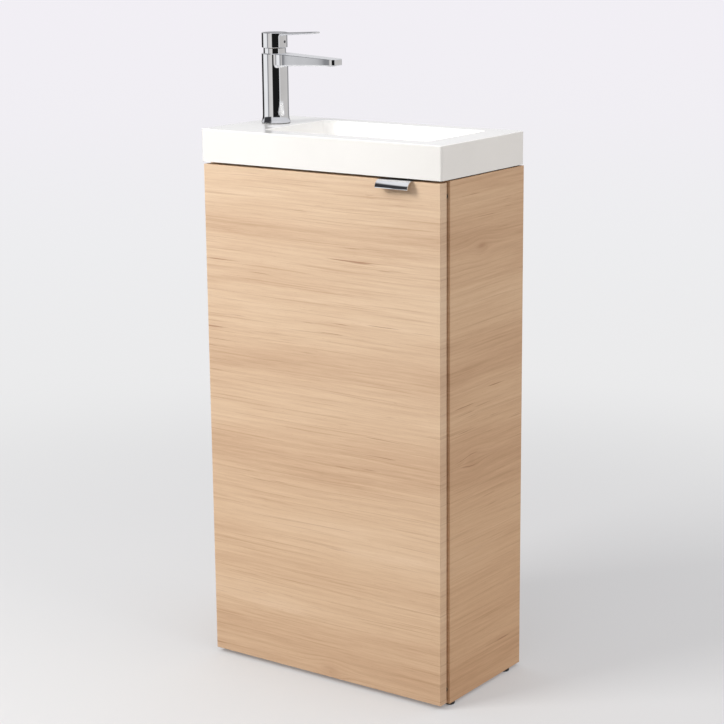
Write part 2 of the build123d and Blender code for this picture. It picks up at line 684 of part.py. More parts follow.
def plug_cap():
    """The domed cap over the waste, with a boss below for its stem."""
    radius = PLUG_DIAMETER / 2
    boss = PLUG_BOSS / 2
    bottom = PLUG_BOTTOM - PLUG_SEAL
    side = PLUG_BOTTOM + PLUG_RIM
    top = PLUG_BOTTOM + PLUG_DOME
    sag = top - side
    dome = (radius ** 2 + sag ** 2) / (2 * sag)
    ball = Pos(WASTE_X, WASTE_Y, top - dome) * Sphere(dome)
    disc = turned([(0, top + 1), (0, bottom), (boss, bottom), (boss, PLUG_BOTTOM),
                   (radius - PLUG_RIM, PLUG_BOTTOM), (radius, side), (radius, top + 1)], WASTE_X, WASTE_Y)
    thread = rod(WASTE_X, WASTE_Y, bottom - 1, PLUG_BOTTOM + PLUG_THREAD, PLUG_STEM + FIT_GAP)
    return (disc & ball) - thread


def plug_seal():
    """The rubber ring under the cap that closes the waste."""
    return waste_ring(PLUG_BOSS + FIT_GAP, WASTE_BORE - 2 * FIT_GAP, PLUG_BOTTOM - PLUG_SEAL, PLUG_BOTTOM)


def union_nut(height):
    """A moulded union nut with grip ribs, along Z from zero, with a stepped bore."""
    radius = TRAP_NUT_WIDTH / 2
    nut = Pos(0, 0, height / 2) * Cylinder(radius, height)
    groove = Pos(radius + NUT_GROOVE / 2, 0, height / 2) * Cylinder(NUT_GROOVE, height + 1)
    return nut - [Rot(0, 0, 360 * step / NUT_GROOVES) * groove for step in range(NUT_GROOVES)]


def trap_inlet_nut():
    """The nut that joins the trap's inlet tube to the waste."""
    low = WASTE_BOTTOM - TRAP_NUT_LIP - TRAP_TUBE_FLANGE
    nut = Pos(WASTE_X, WASTE_Y, low) * union_nut(TRAP_NUT_HEIGHT)
    thread = rod(WASTE_X, WASTE_Y, low + TRAP_NUT_LIP, low + TRAP_NUT_HEIGHT + 1, WASTE_THREAD + FIT_GAP)
    throat = rod(WASTE_X, WASTE_Y, low - 1, low + TRAP_NUT_LIP + 1, TRAP_TUBE + 2 * FIT_GAP)
    return nut - thread - throat


def trap_body():
    """The trap's upper half: inlet tube with its dip tube, round chamber, and a socket towards the wall."""
    tube = TRAP_TUBE / 2
    inner_tube = tube - TRAP_TUBE_WALL
    bottle = TRAP_BOTTLE / 2
    inner = bottle - TRAP_BOTTLE_WALL
    collar = WASTE_THREAD / 2 - FIT_GAP
    top = WASTE_BOTTOM
    flange = top - TRAP_TUBE_FLANGE
    slope = (bottle - tube) / 2
    chamber = turned([(0, top), (collar, top), (collar, flange), (tube, flange), (tube, TRAP_TOP + slope),
                      (bottle, TRAP_TOP - slope), (bottle, TRAP_SPLIT), (0, TRAP_SPLIT)], WASTE_X, WASTE_Y)
    room = turned([(tube, TRAP_TOP), (inner, TRAP_TOP - slope - TRAP_BOTTLE_WALL), (inner, TRAP_SPLIT - 1),
                   (tube, TRAP_SPLIT - 1)], WASTE_X, WASTE_Y)
    dip = rod(WASTE_X, WASTE_Y, TRAP_SPLIT - TRAP_DIP, TRAP_SPLIT + 1, TRAP_TUBE)
    passage = rod(WASTE_X, WASTE_Y, TRAP_SPLIT - TRAP_DIP - 1, top + 1, 2 * inner_tube)
    end = WASTE_Y + TRAP_OUTLET_REACH
    socket = rod_y(WASTE_X, WASTE_Y + inner, end, TRAP_OUTLET_Z, PIPE_BORE + 2 * TRAP_TUBE_WALL)
    pipe = rod_y(WASTE_X, end - PIPE_SOCKET, end + 1, TRAP_OUTLET_Z, PIPE_BORE)
    port = rod_y(WASTE_X, WASTE_Y + tube + 1, end, TRAP_OUTLET_Z, TRAP_TUBE - 2 * TRAP_TUBE_WALL)
    return (chamber - room + dip + socket) - passage - pipe - port


def trap_cup():
    """The screw-off cup that holds the water seal: a tapering bottom under a wider threaded collar."""
    outer = TRAP_BOTTLE / 2 + TRAP_BOTTLE_WALL
    inner = TRAP_BOTTLE / 2 + FIT_GAP
    wide = TRAP_BOTTLE / 2
    narrow = wide - TRAP_BOTTLE_WALL
    top = TRAP_SPLIT + TRAP_CUP_GRIP
    bottom = TRAP_SPLIT - TRAP_CUP_HEIGHT
    seat = TRAP_SPLIT - FIT_GAP
    collar = TRAP_SPLIT - 2 * TRAP_BOTTLE_WALL
    floor = bottom + TRAP_BOTTLE_WALL
    outline = [(0, bottom), (narrow - TRAP_CUP_ROUND, bottom), (narrow, bottom + TRAP_CUP_ROUND),
               (wide, collar - TRAP_BOTTLE_WALL), (outer, collar), (outer, top), (inner, top), (inner, seat),
               (narrow, seat), (narrow - TRAP_BOTTLE_WALL, floor + TRAP_CUP_ROUND),
               (narrow - TRAP_BOTTLE_WALL - TRAP_CUP_ROUND, floor), (0, floor)]
    return turned(outline, WASTE_X, WASTE_Y)


def trap_outlet_nut():
    """The nut that squeezes the seal round the waste pipe."""
    thread = TRAP_NUT_HEIGHT - TRAP_NUT_LIP
    socket = PIPE_BORE + 2 * TRAP_TUBE_WALL + FIT_GAP
    nut = union_nut(TRAP_NUT_HEIGHT)
    nut = nut - rod(0, 0, 0, thread, socket) - rod(0, 0, 0, TRAP_NUT_HEIGHT + 1, PIPE_BORE + 2 * FIT_GAP)
    start = WASTE_Y + TRAP_OUTLET_REACH + FIT_GAP - thread
    return Pos(WASTE_X, start, TRAP_OUTLET_Z) * Rot(-90, 0, 0) * nut


def tap_body():
    """The cast tap: a flared column and a flat tapering spout, bored for cartridge, inlets and stud."""
    radius = TAP_DIAMETER / 2
    flare = TAP_FLARE / 2
    column = turned([(0, TAP_FOOT), (flare, TAP_FOOT), (flare, TAP_FOOT + TAP_FLARE_EDGE),
                     (radius, TAP_FOOT + TAP_FLARE_HEIGHT), (radius, TAP_TOP - TAP_BEVEL),
                     (radius - TAP_BEVEL, TAP_TOP), (0, TAP_TOP)], TAP_X, TAP_Y)
    sections = []
    for x, width, height, top in ((SPOUT_ROOT, SPOUT_WIDTH, SPOUT_ROOT_HEIGHT, TAP_TOP),
                                  (SPOUT_REACH, SPOUT_TIP_WIDTH, SPOUT_TIP_HEIGHT, TAP_TOP - SPOUT_TOP_DROP)):
        across = Plane(origin=(TAP_X + x, TAP_Y, top - height / 2), x_dir=(0, 1, 0), z_dir=(1, 0, 0))
        sections.append(across * RectangleRounded(width, height, SPOUT_ROUND))
    spout = loft(sections)
    spout = fillet(spout.faces().sort_by(Axis.X)[-1].edges(), SPOUT_TIP_ROUND)
    pocket = rod(TAP_X, TAP_Y, CARTRIDGE_FLOOR, TAP_TOP + 1, CARTRIDGE_DIAMETER + FIT_GAP)
    thread = rod(TAP_X, TAP_Y, TAP_TOP - NUT_THREAD_LENGTH, TAP_TOP + 1, TAP_NECK - 2 * NECK_STEP + FIT_GAP)
    recess = rod(TAP_X, TAP_Y, TAP_FOOT - 1, TAP_RECESS_ROOF, TAP_RECESS)
    stud_top = TAP_RECESS_ROOF + STUD_IN_TAP + FIT_GAP
    stud = rod(TAP_X, TAP_Y + STUD_OFFSET, TAP_RECESS_ROOF - 1, stud_top, STUD_DIAMETER + FIT_GAP)
    inlets = [rod(TAP_X + side * INLET_SPACING / 2, TAP_Y - INLET_OFFSET, TAP_RECESS_ROOF - 1,
                  TAP_RECESS_ROOF + INLET_DEPTH, INLET_THREAD) for side in (-1, 1)]
    aerator = rod(AERATOR_X, TAP_Y, SPOUT_TIP_BOTTOM - 2, AERATOR_TOP, AERATOR_DIAMETER + FIT_GAP)
    waterway = rod_x(TAP_X, AERATOR_X, TAP_Y, WATERWAY_Z, WATERWAY)
    return (column + spout) - pocket - thread - recess - stud - inlets - aerator - waterway


def tap_base_gasket():
    """The thin gasket between tap and basin."""
    ring = rod(TAP_X, TAP_Y, RIM_HEIGHT, TAP_FOOT, TAP_FLARE - 2)
    return ring - rod(TAP_X, TAP_Y, RIM_HEIGHT - 1, TAP_FOOT + 1, TAP_HOLE)


def tap_aerator():
    """The water mixer screwed into the end of the spout: a ring with a recessed grid."""
    radius = AERATOR_DIAMETER / 2
    bottom = AERATOR_TOP - AERATOR_HEIGHT
    grid = bottom + AERATOR_RECESS
    core = turned([(0, grid), (radius - AERATOR_RIM, grid), (radius - AERATOR_RIM, bottom), (radius, bottom),
                   (radius, AERATOR_TOP), (0, AERATOR_TOP)], AERATOR_X, TAP_Y)
    jet = Pos(JET_CIRCLE / 2, 0, 0) * rod(0, 0, bottom, AERATOR_TOP + 1, JET_DIAMETER)
    return core - [Pos(AERATOR_X, TAP_Y, 0) * Rot(0, 0, 360 * step / JETS) * jet for step in range(JETS)]


def tap_cartridge():
    """The ceramic-disc cartridge: a round housing whose top is bored for the turning carrier."""
    body = rod(TAP_X, TAP_Y, CARTRIDGE_FLOOR, CARTRIDGE_TOP, CARTRIDGE_DIAMETER)
    bore = rod(TAP_X, TAP_Y, CARRIER_FLOOR, CARTRIDGE_TOP + 1, CARRIER_DIAMETER + 2 * SLIDE_CLEARANCE)
    port = TAP_X + CARTRIDGE_DIAMETER / 2 - CARTRIDGE_PORT
    outlet = rod_x(port, TAP_X + CARTRIDGE_DIAMETER, TAP_Y, WATERWAY_Z, WATERWAY)
    return body - bore - outlet


def cartridge_nut():
    """The brass ring nut that holds the cartridge down; its smooth top is the tap's neck."""
    neck = TAP_NECK / 2
    thread = neck - NECK_STEP
    bore = NUT_BORE / 2
    low = TAP_TOP - NUT_THREAD_LENGTH + FIT_GAP
    ring = turned([(bore, low), (thread, low),
                   (thread, TAP_TOP), (neck, TAP_TOP), (neck, TAP_TOP + TAP_NECK_HEIGHT),
                   (bore, TAP_TOP + TAP_NECK_HEIGHT)], TAP_X, TAP_Y)
    return ring - rod(TAP_X, TAP_Y, CARTRIDGE_FLOOR, CARTRIDGE_TOP + FIT_GAP, CARTRIDGE_DIAMETER + FIT_GAP)


def cartridge_carrier():
    """The turning part of the cartridge: a drum with a slot that the stem rocks in."""
    drum = rod(TAP_X, TAP_Y, CARRIER_FLOOR + FIT_GAP, CARRIER_TOP, CARRIER_DIAMETER)
    slot_half = STEM_WIDTH / 2 + SLIDE_CLEARANCE
    slot = block(TAP_X - CARRIER_DIAMETER, TAP_X + CARRIER_DIAMETER, TAP_Y - slot_half, TAP_Y + slot_half,
                 CARRIER_SLOT_FLOOR, CARRIER_TOP + 1)
    reach = CARRIER_DIAMETER / 2
    return drum - slot - rod_y(TAP_X, TAP_Y - reach, TAP_Y + reach, PIVOT_Z, PIVOT_PIN + FIT_GAP)


def lever_pivot_pin():
    """The cross pin that the stem rocks on, fixed in the carrier."""
    reach = CARRIER_DIAMETER / 2
    pin = rod_y(TAP_X, TAP_Y - reach, TAP_Y + reach, PIVOT_Z, PIVOT_PIN)
    return pin & rod(TAP_X, TAP_Y, CARRIER_FLOOR, CARRIER_TOP, CARRIER_DIAMETER - FIT_GAP)


def cartridge_stem():
    """The square stem that the lever is clamped to."""
    half = STEM_WIDTH / 2
    bar = block(TAP_X - half, TAP_X + half, TAP_Y - half, TAP_Y + half, STEM_LOW, STEM_HIGH)
    bar = chamfer(bar.faces().sort_by(Axis.Z)[-1].edges(), STEM_BEVEL)
    return bar - rod_y(TAP_X, TAP_Y - half - 1, TAP_Y + half + 1, PIVOT_Z, PIVOT_PIN + 2 * PIN_CLEARANCE)


def lever_handle():
    """The lever: a round cap over the neck with a thin blade that runs forward and rises a little."""
    radius = CAP_DIAMETER / 2
    low = RIM_HEIGHT + CAP_BOTTOM
    high = RIM_HEIGHT + CAP_TOP
    roof = high - CAP_ROOF
    shell = rod(TAP_X, TAP_Y, low, high, CAP_DIAMETER)
    shell = fillet(shell.edges().filter_by(GeomType.CIRCLE).sort_by(Axis.Z)[-1], CAP_ROUND)
    shell = shell - rod(TAP_X, TAP_Y, low - 1, roof, CAP_DIAMETER - 2 * CAP_WALL)
    blade = lever_blade(high)
    socket_half = STEM_WIDTH / 2 + SLIDE_CLEARANCE + STEM_SOCKET_WALL
    socket = block(TAP_X - socket_half, TAP_X + socket_half, TAP_Y - socket_half, TAP_Y + socket_half,
                   SOCKET_BOTTOM, roof + 1)
    hole_half = STEM_WIDTH / 2 + SLIDE_CLEARANCE
    hole = block(TAP_X - hole_half, TAP_X + hole_half, TAP_Y - hole_half, TAP_Y + hole_half,
                 SOCKET_BOTTOM - 1, STEM_HIGH + FIT_GAP)
    grub = rod_x(TAP_X, TAP_X + radius, TAP_Y, GRUB_Z, GRUB_SCREW + FIT_GAP)
    window = rod_x(TAP_X + socket_half, TAP_X + radius + 1, TAP_Y, GRUB_Z, INDICATOR_DIAMETER + FIT_GAP)
    return (shell + blade + socket) - hole - grub - window


def lever_blade(high):
    """The blade of the lever: a thin wedge in side view, cut to a tapering plan with a round tip."""
    start = -CAP_DIAMETER / 4
    side = Polyline((start, -LEVER_THICKNESS), (CAP_DIAMETER / 2, -LEVER_THICKNESS),
                    (LEVER_REACH, LEVER_RISE - LEVER_TIP_THICKNESS), (LEVER_REACH, LEVER_RISE),
                    (CAP_DIAMETER / 2, 0), (start, 0), close=True)
    wedge = extrude(Plane.XZ * make_face(side), LEVER_WIDTH, both=True)
    plan = make_face(Polyline((start, -LEVER_WIDTH / 2), (LEVER_REACH, -LEVER_TIP_WIDTH / 2),
                              (LEVER_REACH, LEVER_TIP_WIDTH / 2), (start, LEVER_WIDTH / 2), close=True))
    plan = fillet(plan.vertices().group_by(Axis.X)[-1], LEVER_TIP_ROUND)
    blade = wedge & (Pos(0, 0, -LEVER_WIDTH) * extrude(plan, 2 * LEVER_WIDTH))
    return Pos(TAP_X, TAP_Y, high) * blade


def lever_grub_screw():
    """The socket-head grub screw that clamps the lever to its stem."""
    start = TAP_X + STEM_WIDTH / 2
    end = TAP_X + STEM_WIDTH / 2 + SLIDE_CLEARANCE + STEM_SOCKET_WALL
    screw = rod_x(start, end, TAP_Y, GRUB_Z, GRUB_SCREW)
    face = Plane(origin=(end, TAP_Y, GRUB_Z), z_dir=(1, 0, 0))
    key = extrude(face * RegularPolygon(GRUB_KEY / 2, 6), -GRUB_KEY_DEPTH)
    return screw - key


def temperature_indicator():
    """The small plug with the warm and cold marks that hides the grub screw."""
    radius = CAP_DIAMETER / 2
    plug = rod_x(TAP_X + radius - CAP_WALL - 1, TAP_X + radius, TAP_Y, GRUB_Z, INDICATOR_DIAMETER)
    return fillet(plug.edges().filter_by(GeomType.CIRCLE).sort_by(Axis.X)[-1], INDICATOR_ROUND)


def tap_fixing_stud():
    """The threaded stud that holds the tap down."""
    high = TAP_RECESS_ROOF + STUD_IN_TAP
    stud = rod(TAP_X, TAP_Y + STUD_OFFSET, high - STUD_LENGTH, high, STUD_DIAMETER)
    return chamfer(stud.edges().filter_by(GeomType.CIRCLE), STUD_BEVEL)


def tap_fixing_washer():
    """The horseshoe plate under the deck, open towards the front for the two hoses."""
    high = RIM_HEIGHT - DECK_THICKNESS
    low = high - FIXING_WASHER_THICKNESS
    plate = rod(TAP_X, TAP_Y, low, high, FIXING_WASHER)
    slot_y = TAP_Y - HOSE_SLOT_OFFSET
    half = HOSE_SLOT / 2
    slot = rod(TAP_X, slot_y, low - 1, high + 1, HOSE_SLOT)
    mouth = block(TAP_X - half, TAP_X + half, TAP_Y - FIXING_WASHER, slot_y, low - 1, high + 1)
    stud = rod(TAP_X, TAP_Y + STUD_OFFSET, low - 1, high + 1, STUD_DIAMETER + FIT_GAP)
    return plate - slot - mouth - stud


def tap_fixing_nut():
    """The nut on the stud."""
    high = RIM_HEIGHT - DECK_THICKNESS - FIXING_WASHER_THICKNESS
    low = high - FIXING_NUT_HEIGHT
    blank = hexagon(TAP_X, TAP_Y + STUD_OFFSET, low, high, FIXING_NUT_WIDTH)
    return blank - rod(TAP_X, TAP_Y + STUD_OFFSET, low - 1, high + 1, STUD_DIAMETER + FIT_GAP)


def door_panel():
    """The full-height door, bored on its back for the hinge cups and their screws."""
    door = block(-DOOR_HALF, DOOR_HALF, DOOR_FRONT, DOOR_BACK, DOOR_BOTTOM, DOOR_TOP)
    back_edges = door.edges().filter_by(Axis.Z).sort_by(Axis.Y)[2:]
    door = fillet(back_edges, DOOR_BACK_ROUND)
    door = fillet(door.faces().sort_by(Axis.Y)[0].edges(), DOOR_FRONT_ROUND)
    cuts = []
    for z in HINGE_HEIGHTS:
        cuts.append(rod_y(CUP_X, DOOR_BACK - CUP_DEPTH - FIT_GAP, DOOR_BACK + 1, z, CUP_DIAMETER))
        for offset in (-CUP_SCREW_SPACING / 2, CUP_SCREW_SPACING / 2):
            cuts.append(rod_y(CUP_X, DOOR_BACK - SCREW_LENGTH, DOOR_BACK + 1, z + offset, SCREW + FIT_GAP))
    pilot = DOOR_TOP - HANDLE_SCREW_LENGTH
    for x in handle_screw_lines():
        cuts.append(rod(x, HANDLE_SCREW_Y, pilot, DOOR_TOP + 1, HANDLE_SCREW + FIT_GAP))
    return door - cuts


def hinge_cups():
    """Pressed cups let into the door, each with two screw wings and a hole on each side for its pin."""
    cups = []
    outer = CUP_DIAMETER - FIT_GAP
    inner = outer - 2 * CUP_WALL
    for z in HINGE_HEIGHTS:
        pot = rod_y(CUP_X, DOOR_BACK - CUP_DEPTH, DOOR_BACK + CUP_FLANGE, z, outer)
        collar = rod_y(CUP_X, DOOR_BACK, DOOR_BACK + CUP_FLANGE, z, CUP_COLLAR)
        wing = Plane(origin=(CUP_X, DOOR_BACK, z), x_dir=(1, 0, 0), z_dir=(0, 1, 0)) * RectangleRounded(
            CUP_WING_WIDTH, CUP_WING_LENGTH, CUP_WING_WIDTH / 3)
        wings = extrude(wing, CUP_FLANGE)
        hollow = rod_y(CUP_X, DOOR_BACK - CUP_DEPTH + CUP_WALL, DOOR_BACK + CUP_FLANGE + 1, z, inner)
        reach = CUP_DIAMETER / 2
        pin_hole = rod(PIVOT_X, PIVOT_Y, z - reach, z + reach, HINGE_PIN + 2 * PIN_CLEARANCE)
        screws = [rod_y(CUP_X, DOOR_BACK - 1, DOOR_BACK + CUP_FLANGE + 1, z + side * CUP_SCREW_SPACING / 2,
                        SCREW + FIT_GAP) for side in (-1, 1)]
        cups.append((pot + collar + wings) - hollow - pin_hole - screws)
    return cups


def hinge_pins():
    """The steel pins, riveted flush in the walls of the cups."""
    pins = []
    for z in HINGE_HEIGHTS:
        reach = CUP_DIAMETER / 2
        pin = rod(PIVOT_X, PIVOT_Y, z - reach, z + reach, HINGE_PIN)
        cup = rod_y(CUP_X, DOOR_BACK - CUP_DEPTH, DOOR_BACK + CUP_FLANGE, z, CUP_DIAMETER - FIT_GAP)
        pins.append(pin & cup)
    return pins


def hinge_arms():
    """Bent steel arms: an eye round the pin, a short web in the cup, and a long leg on the cabinet side."""
    arms = []
    bore = HINGE_PIN / 2 + PIN_CLEARANCE
    eye = bore + EYE_WALL
    half = ARM_THICKNESS / 2
    leg = PIVOT_X + ARM_REACH
    end = CARCASS_FRONT + ARM_LENGTH
    for z in HINGE_HEIGHTS:
        low = z - ARM_WIDTH / 2
        high = z + ARM_WIDTH / 2
        web = block(PIVOT_X, leg, PIVOT_Y - half, PIVOT_Y + half, low, high)
        back = block(leg - ARM_THICKNESS, leg, PIVOT_Y - half, end, low, high)
        strip = web + back
        outer_bend = strip.edges().filter_by(Axis.Z).group_by(Axis.X)[-1].sort_by(Axis.Y)[0]
        strip = fillet(outer_bend, ARM_THICKNESS)
        end_corners = strip.edges().filter_by(Axis.X).group_by(Axis.Y)[-1]
        strip = fillet(end_corners, ARM_WIDTH / 4)
        ring = rod(PIVOT_X, PIVOT_Y, low, high, 2 * eye)
        pin_hole = rod(PIVOT_X, PIVOT_Y, low - 1, high + 1, 2 * bore)
        screw_hole = rod_x(leg - ARM_THICKNESS - 1, leg + 1, ARM_SCREW_Y, z, SCREW + FIT_GAP)
        arms.append((strip + ring) - pin_hole - screw_hole)
    return arms


def hinge_mounting_plates():
    """Die-cast plates on the left side: a raised bed for the arm, and a wing above and below for screws."""
    plates = []
    inner = -INSIDE
    middle = CARCASS_FRONT + SYSTEM_LINE
    wing_half = SCREW_HEAD
    front = CARCASS_FRONT + PLATE_SETBACK
    for z in HINGE_HEIGHTS:
        bed = block(inner, PLATE_TOP, front, front + PLATE_LENGTH, z - PLATE_WIDTH / 2, z + PLATE_WIDTH / 2)
        bed = fillet(bed.faces().sort_by(Axis.X)[-1].edges(), PLATE_ROUND)
        wing = block(inner, inner + PLATE_WING_THICKNESS, middle - wing_half, middle + wing_half,
                     z - PLATE_WING / 2, z + PLATE_WING / 2)
        wing = fillet(wing.edges().filter_by(Axis.X), wing_half / 2)
        holes = [rod_x(inner - 1, PLATE_TOP, middle, z + side * PLATE_SCREW_SPACING / 2, SCREW + FIT_GAP)
                 for side in (-1, 1)]
        thread = rod_x(PLATE_TOP - ARM_SCREW_DEPTH, PLATE_TOP + 1, ARM_SCREW_Y, z, SCREW + FIT_GAP)
        plates.append((bed + wing) - holes - thread)
    return plates


def screw_along(length):
    """A screw along Z from zero downwards, with a low round head above and a cross recess."""
    shank = Pos(0, 0, -length / 2) * Cylinder(SCREW / 2, length)
    head = Pos(0, 0, SCREW_HEAD_HEIGHT / 2) * Cylinder(SCREW_HEAD / 2, SCREW_HEAD_HEIGHT)
    head = fillet(head.edges().sort_by(Axis.Z)[-1], SCREW_HEAD_HEIGHT / 2)
    slot = SCREW_HEAD / 2
    recess = [Pos(0, 0, SCREW_HEAD_HEIGHT) * Rot(0, 0, turn) * Box(slot, SCREW_SLOT, SCREW_HEAD_HEIGHT)
              for turn in (0, 90)]
    return shank + head - recess


def hinge_plate_screws():
    """Two screws through each mounting plate into the side board."""
    face = -INSIDE + PLATE_WING_THICKNESS
    y = CARCASS_FRONT + SYSTEM_LINE
    return [Pos(face, y, z + side * PLATE_SCREW_SPACING / 2) * Rot(0, 90, 0) * screw_along(SCREW_LENGTH)
            for z in HINGE_HEIGHTS for side in (-1, 1)]


def hinge_arm_screws():
    """One screw clamps each arm to its plate."""
    face = PIVOT_X + ARM_REACH
    return [Pos(face, ARM_SCREW_Y, z) * Rot(0, 90, 0) * screw_along(ARM_SCREW_LENGTH) for z in HINGE_HEIGHTS]


def cup_screws():
    """Two screws through each cup's wings into the door."""
    return [Pos(CUP_X, DOOR_BACK + CUP_FLANGE, z + side * CUP_SCREW_SPACING / 2) * Rot(-90, 0, 0)
            * screw_along(SCREW_LENGTH - CUP_FLANGE) for z in HINGE_HEIGHTS for side in (-1, 1)]


def door_handle():
    """The pull: a strip of chromed metal on the door's top edge that rolls forward and down."""
    roll = HANDLE_DROP + HANDLE_THICKNESS
    top = DOOR_TOP + HANDLE_THICKNESS
    bend = DOOR_FRONT - HANDLE_REACH + roll
    ring = Circle(roll) - Circle(roll - HANDLE_THICKNESS)
    quarter = Pos(bend, top - roll) * (ring & Pos(-roll, roll) * Rectangle(2 * roll, 2 * roll))
    flange_back = DOOR_FRONT + HANDLE_FLANGE
    flange = Rectangle(flange_back - bend, HANDLE_THICKNESS)
    flange = Pos((bend + flange_back) / 2, top - HANDLE_THICKNESS / 2) * flange
    profile = Plane(origin=(HANDLE_LEFT, 0, 0), x_dir=(0, 1, 0), z_dir=(1, 0, 0)) * (quarter + flange)
    strip = extrude(profile, HANDLE_WIDTH)
    lip = strip.edges().filter_by(Axis.X).group_by(Axis.Z)[0]
    strip = fillet(lip, HANDLE_LIP_ROUND)
    heads = []
    for x in handle_screw_lines():
        cone = Pos(x, HANDLE_SCREW_Y, top - HANDLE_THICKNESS / 2) * Cone(
            HANDLE_SCREW / 2 + FIT_GAP / 2, HANDLE_SCREW_HEAD / 2 + FIT_GAP / 2, HANDLE_THICKNESS)
        heads.append(cone)
    return strip - heads


def handle_screw_lines():
    """The x of the two handle screws."""
    middle = HANDLE_LEFT + HANDLE_WIDTH / 2
    return (middle - HANDLE_SCREW_SPACING / 2, middle + HANDLE_SCREW_SPACING / 2)


def handle_screws():
    """Countersunk screws, flush with the handle's flange."""
    screws = []
    for x in handle_screw_lines():
        head = Pos(x, HANDLE_SCREW_Y, DOOR_TOP + HANDLE_THICKNESS / 2) * Cone(
            HANDLE_SCREW / 2, HANDLE_SCREW_HEAD / 2, HANDLE_THICKNESS)
        shank = rod(x, HANDLE_SCREW_Y, DOOR_TOP - HANDLE_SCREW_LENGTH + 1, DOOR_TOP, HANDLE_SCREW)
        screws.append(head + shank)
    return screws


def door_bumpers():
    """Soft buffers on the back of the door, where it meets the right side board."""
    x = HALF - BOARD / 2
    bumpers = []
    for z in (DOOR_BOTTOM + BUMPER_INSET, DOOR_TOP - BUMPER_INSET):
        pad = rod_y(x, DOOR_BACK, DOOR_BACK + BUMPER_HEIGHT, z, BUMPER_DIAMETER)
        bumpers.append(fillet(pad.edges().filter_by(GeomType.CIRCLE).sort_by(Axis.Y)[-1], BUMPER_ROUND))
    return bumpers


SUBPARTS = {
    "side_panel_left": side_panel(-1),
    "side_panel_right": side_panel(1),
    "bottom_panel": bottom_panel(),
    "top_front_rail": top_front_rail(),
    "back_top_rail": back_rail(CARCASS_TOP - BACK_RAIL_HEIGHT, wall_holes=True),
    "back_bottom_rail": back_rail(FLOOR_TOP, wall_holes=False),
    "shelf": shelf(),
    "shelf_pins": shelf_pins(),
    "cam_locks": cam_locks(),
    "cam_bolts": cam_bolts(),
    "wood_dowels": wood_dowels(),
    "floor_glides": floor_glides(),
    "sealant_bead": sealant_bead(),
    "hinge_arms": hinge_arms(),
    "hinge_mounting_plates": hinge_mounting_plates(),
    "hinge_plate_screws": hinge_plate_screws(),
    "hinge_arm_screws": hinge_arm_screws(),
    "basin": basin(),
    "waste_body": waste_body(),
    "waste_flange_seal": waste_flange_seal(),
    "waste_lower_seal": waste_lower_seal(),
    "waste_backnut": waste_backnut(),
    "plug_guide": plug_guide(),
    "plug_stem": plug_stem(),
    "plug_cap": plug_cap(),
    "plug_seal": plug_seal(),
    "trap_inlet_nut": trap_inlet_nut(),
    "trap_body": trap_body(),
    "trap_cup": trap_cup(),
    "trap_outlet_nut": trap_outlet_nut(),
    "tap_body": tap_body(),
    "tap_base_gasket": tap_base_gasket(),
    "tap_aerator": tap_aerator(),
    "tap_cartridge": tap_cartridge(),
    "cartridge_nut": cartridge_nut(),
    "cartridge_carrier": cartridge_carrier(),
    "lever_pivot_pin": lever_pivot_pin(),
    "cartridge_stem": cartridge_stem(),
    "lever_handle": lever_handle(),
    "lever_grub_screw": lever_grub_screw(),
    "temperature_indicator": temperature_indicator(),
    "tap_fixing_stud": tap_fixing_stud(),
    "tap_fixing_washer": tap_fixing_washer(),
    "tap_fixing_nut": tap_fixing_nut(),
    "door_panel": door_panel(),
    "hinge_cups": hinge_cups(),
    "hinge_pins": hinge_pins(),
    "cup_screws": cup_screws(),
    "door_handle": door_handle(),
    "handle_screws": handle_screws(),
    "door_bumpers": door_bumpers(),
}

os.makedirs("parts", exist_ok=True)
for name, shape in SUBPARTS.items():
    solid = Compound(children=list(shape)) if isinstance(shape, list) else shape
    export_step(solid, f"parts/{name}.step")
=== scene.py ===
import math

import bmesh
import bpy
from mathutils import Matrix, Vector


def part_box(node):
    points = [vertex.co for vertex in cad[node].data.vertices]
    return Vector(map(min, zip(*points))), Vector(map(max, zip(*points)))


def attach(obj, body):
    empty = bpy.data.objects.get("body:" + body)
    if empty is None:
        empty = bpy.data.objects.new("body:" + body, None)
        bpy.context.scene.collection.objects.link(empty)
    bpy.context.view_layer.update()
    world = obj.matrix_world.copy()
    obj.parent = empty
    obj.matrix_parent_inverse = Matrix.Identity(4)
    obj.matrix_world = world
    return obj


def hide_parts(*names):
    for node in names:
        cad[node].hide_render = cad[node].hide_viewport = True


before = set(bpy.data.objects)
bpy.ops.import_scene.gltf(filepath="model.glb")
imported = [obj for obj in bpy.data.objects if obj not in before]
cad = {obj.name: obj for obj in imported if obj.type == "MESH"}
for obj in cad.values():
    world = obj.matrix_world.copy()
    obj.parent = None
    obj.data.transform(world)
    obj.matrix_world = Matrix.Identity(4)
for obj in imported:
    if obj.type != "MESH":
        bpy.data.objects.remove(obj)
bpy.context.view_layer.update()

# The photographer's stand: a long lens in front of the unit, to the right of it and a little above the basin.
# The lens isn't shifted, so the uprights draw together slightly more downwards than in the photograph.
CAMERA_PLACE = (1.7066, -2.3803, 1.173)
CAMERA_YAW, CAMERA_PITCH, CAMERA_ROLL = math.radians(35.59), math.radians(13.12), math.radians(-0.561)
CAMERA_FILM, CAMERA_LENS, CAMERA_SIGHT = 36, 96.36, 60
camera_data = bpy.data.cameras.new("photo_camera")
camera_data.sensor_width = CAMERA_FILM
camera_data.lens = CAMERA_LENS
camera_data.clip_end = CAMERA_SIGHT
camera = bpy.data.objects.new("photo_camera", camera_data)
bpy.context.scene.collection.objects.link(camera)
camera.matrix_world = (Matrix.Translation(CAMERA_PLACE) @ Matrix.Rotation(CAMERA_YAW, 4, "Z")
                       @ Matrix.Rotation(math.radians(90) - CAMERA_PITCH, 4, "X")
                       @ Matrix.Rotation(CAMERA_ROLL, 4, "Z"))
bpy.context.scene.camera = camera
bpy.context.scene.view_settings.view_transform = "Standard"


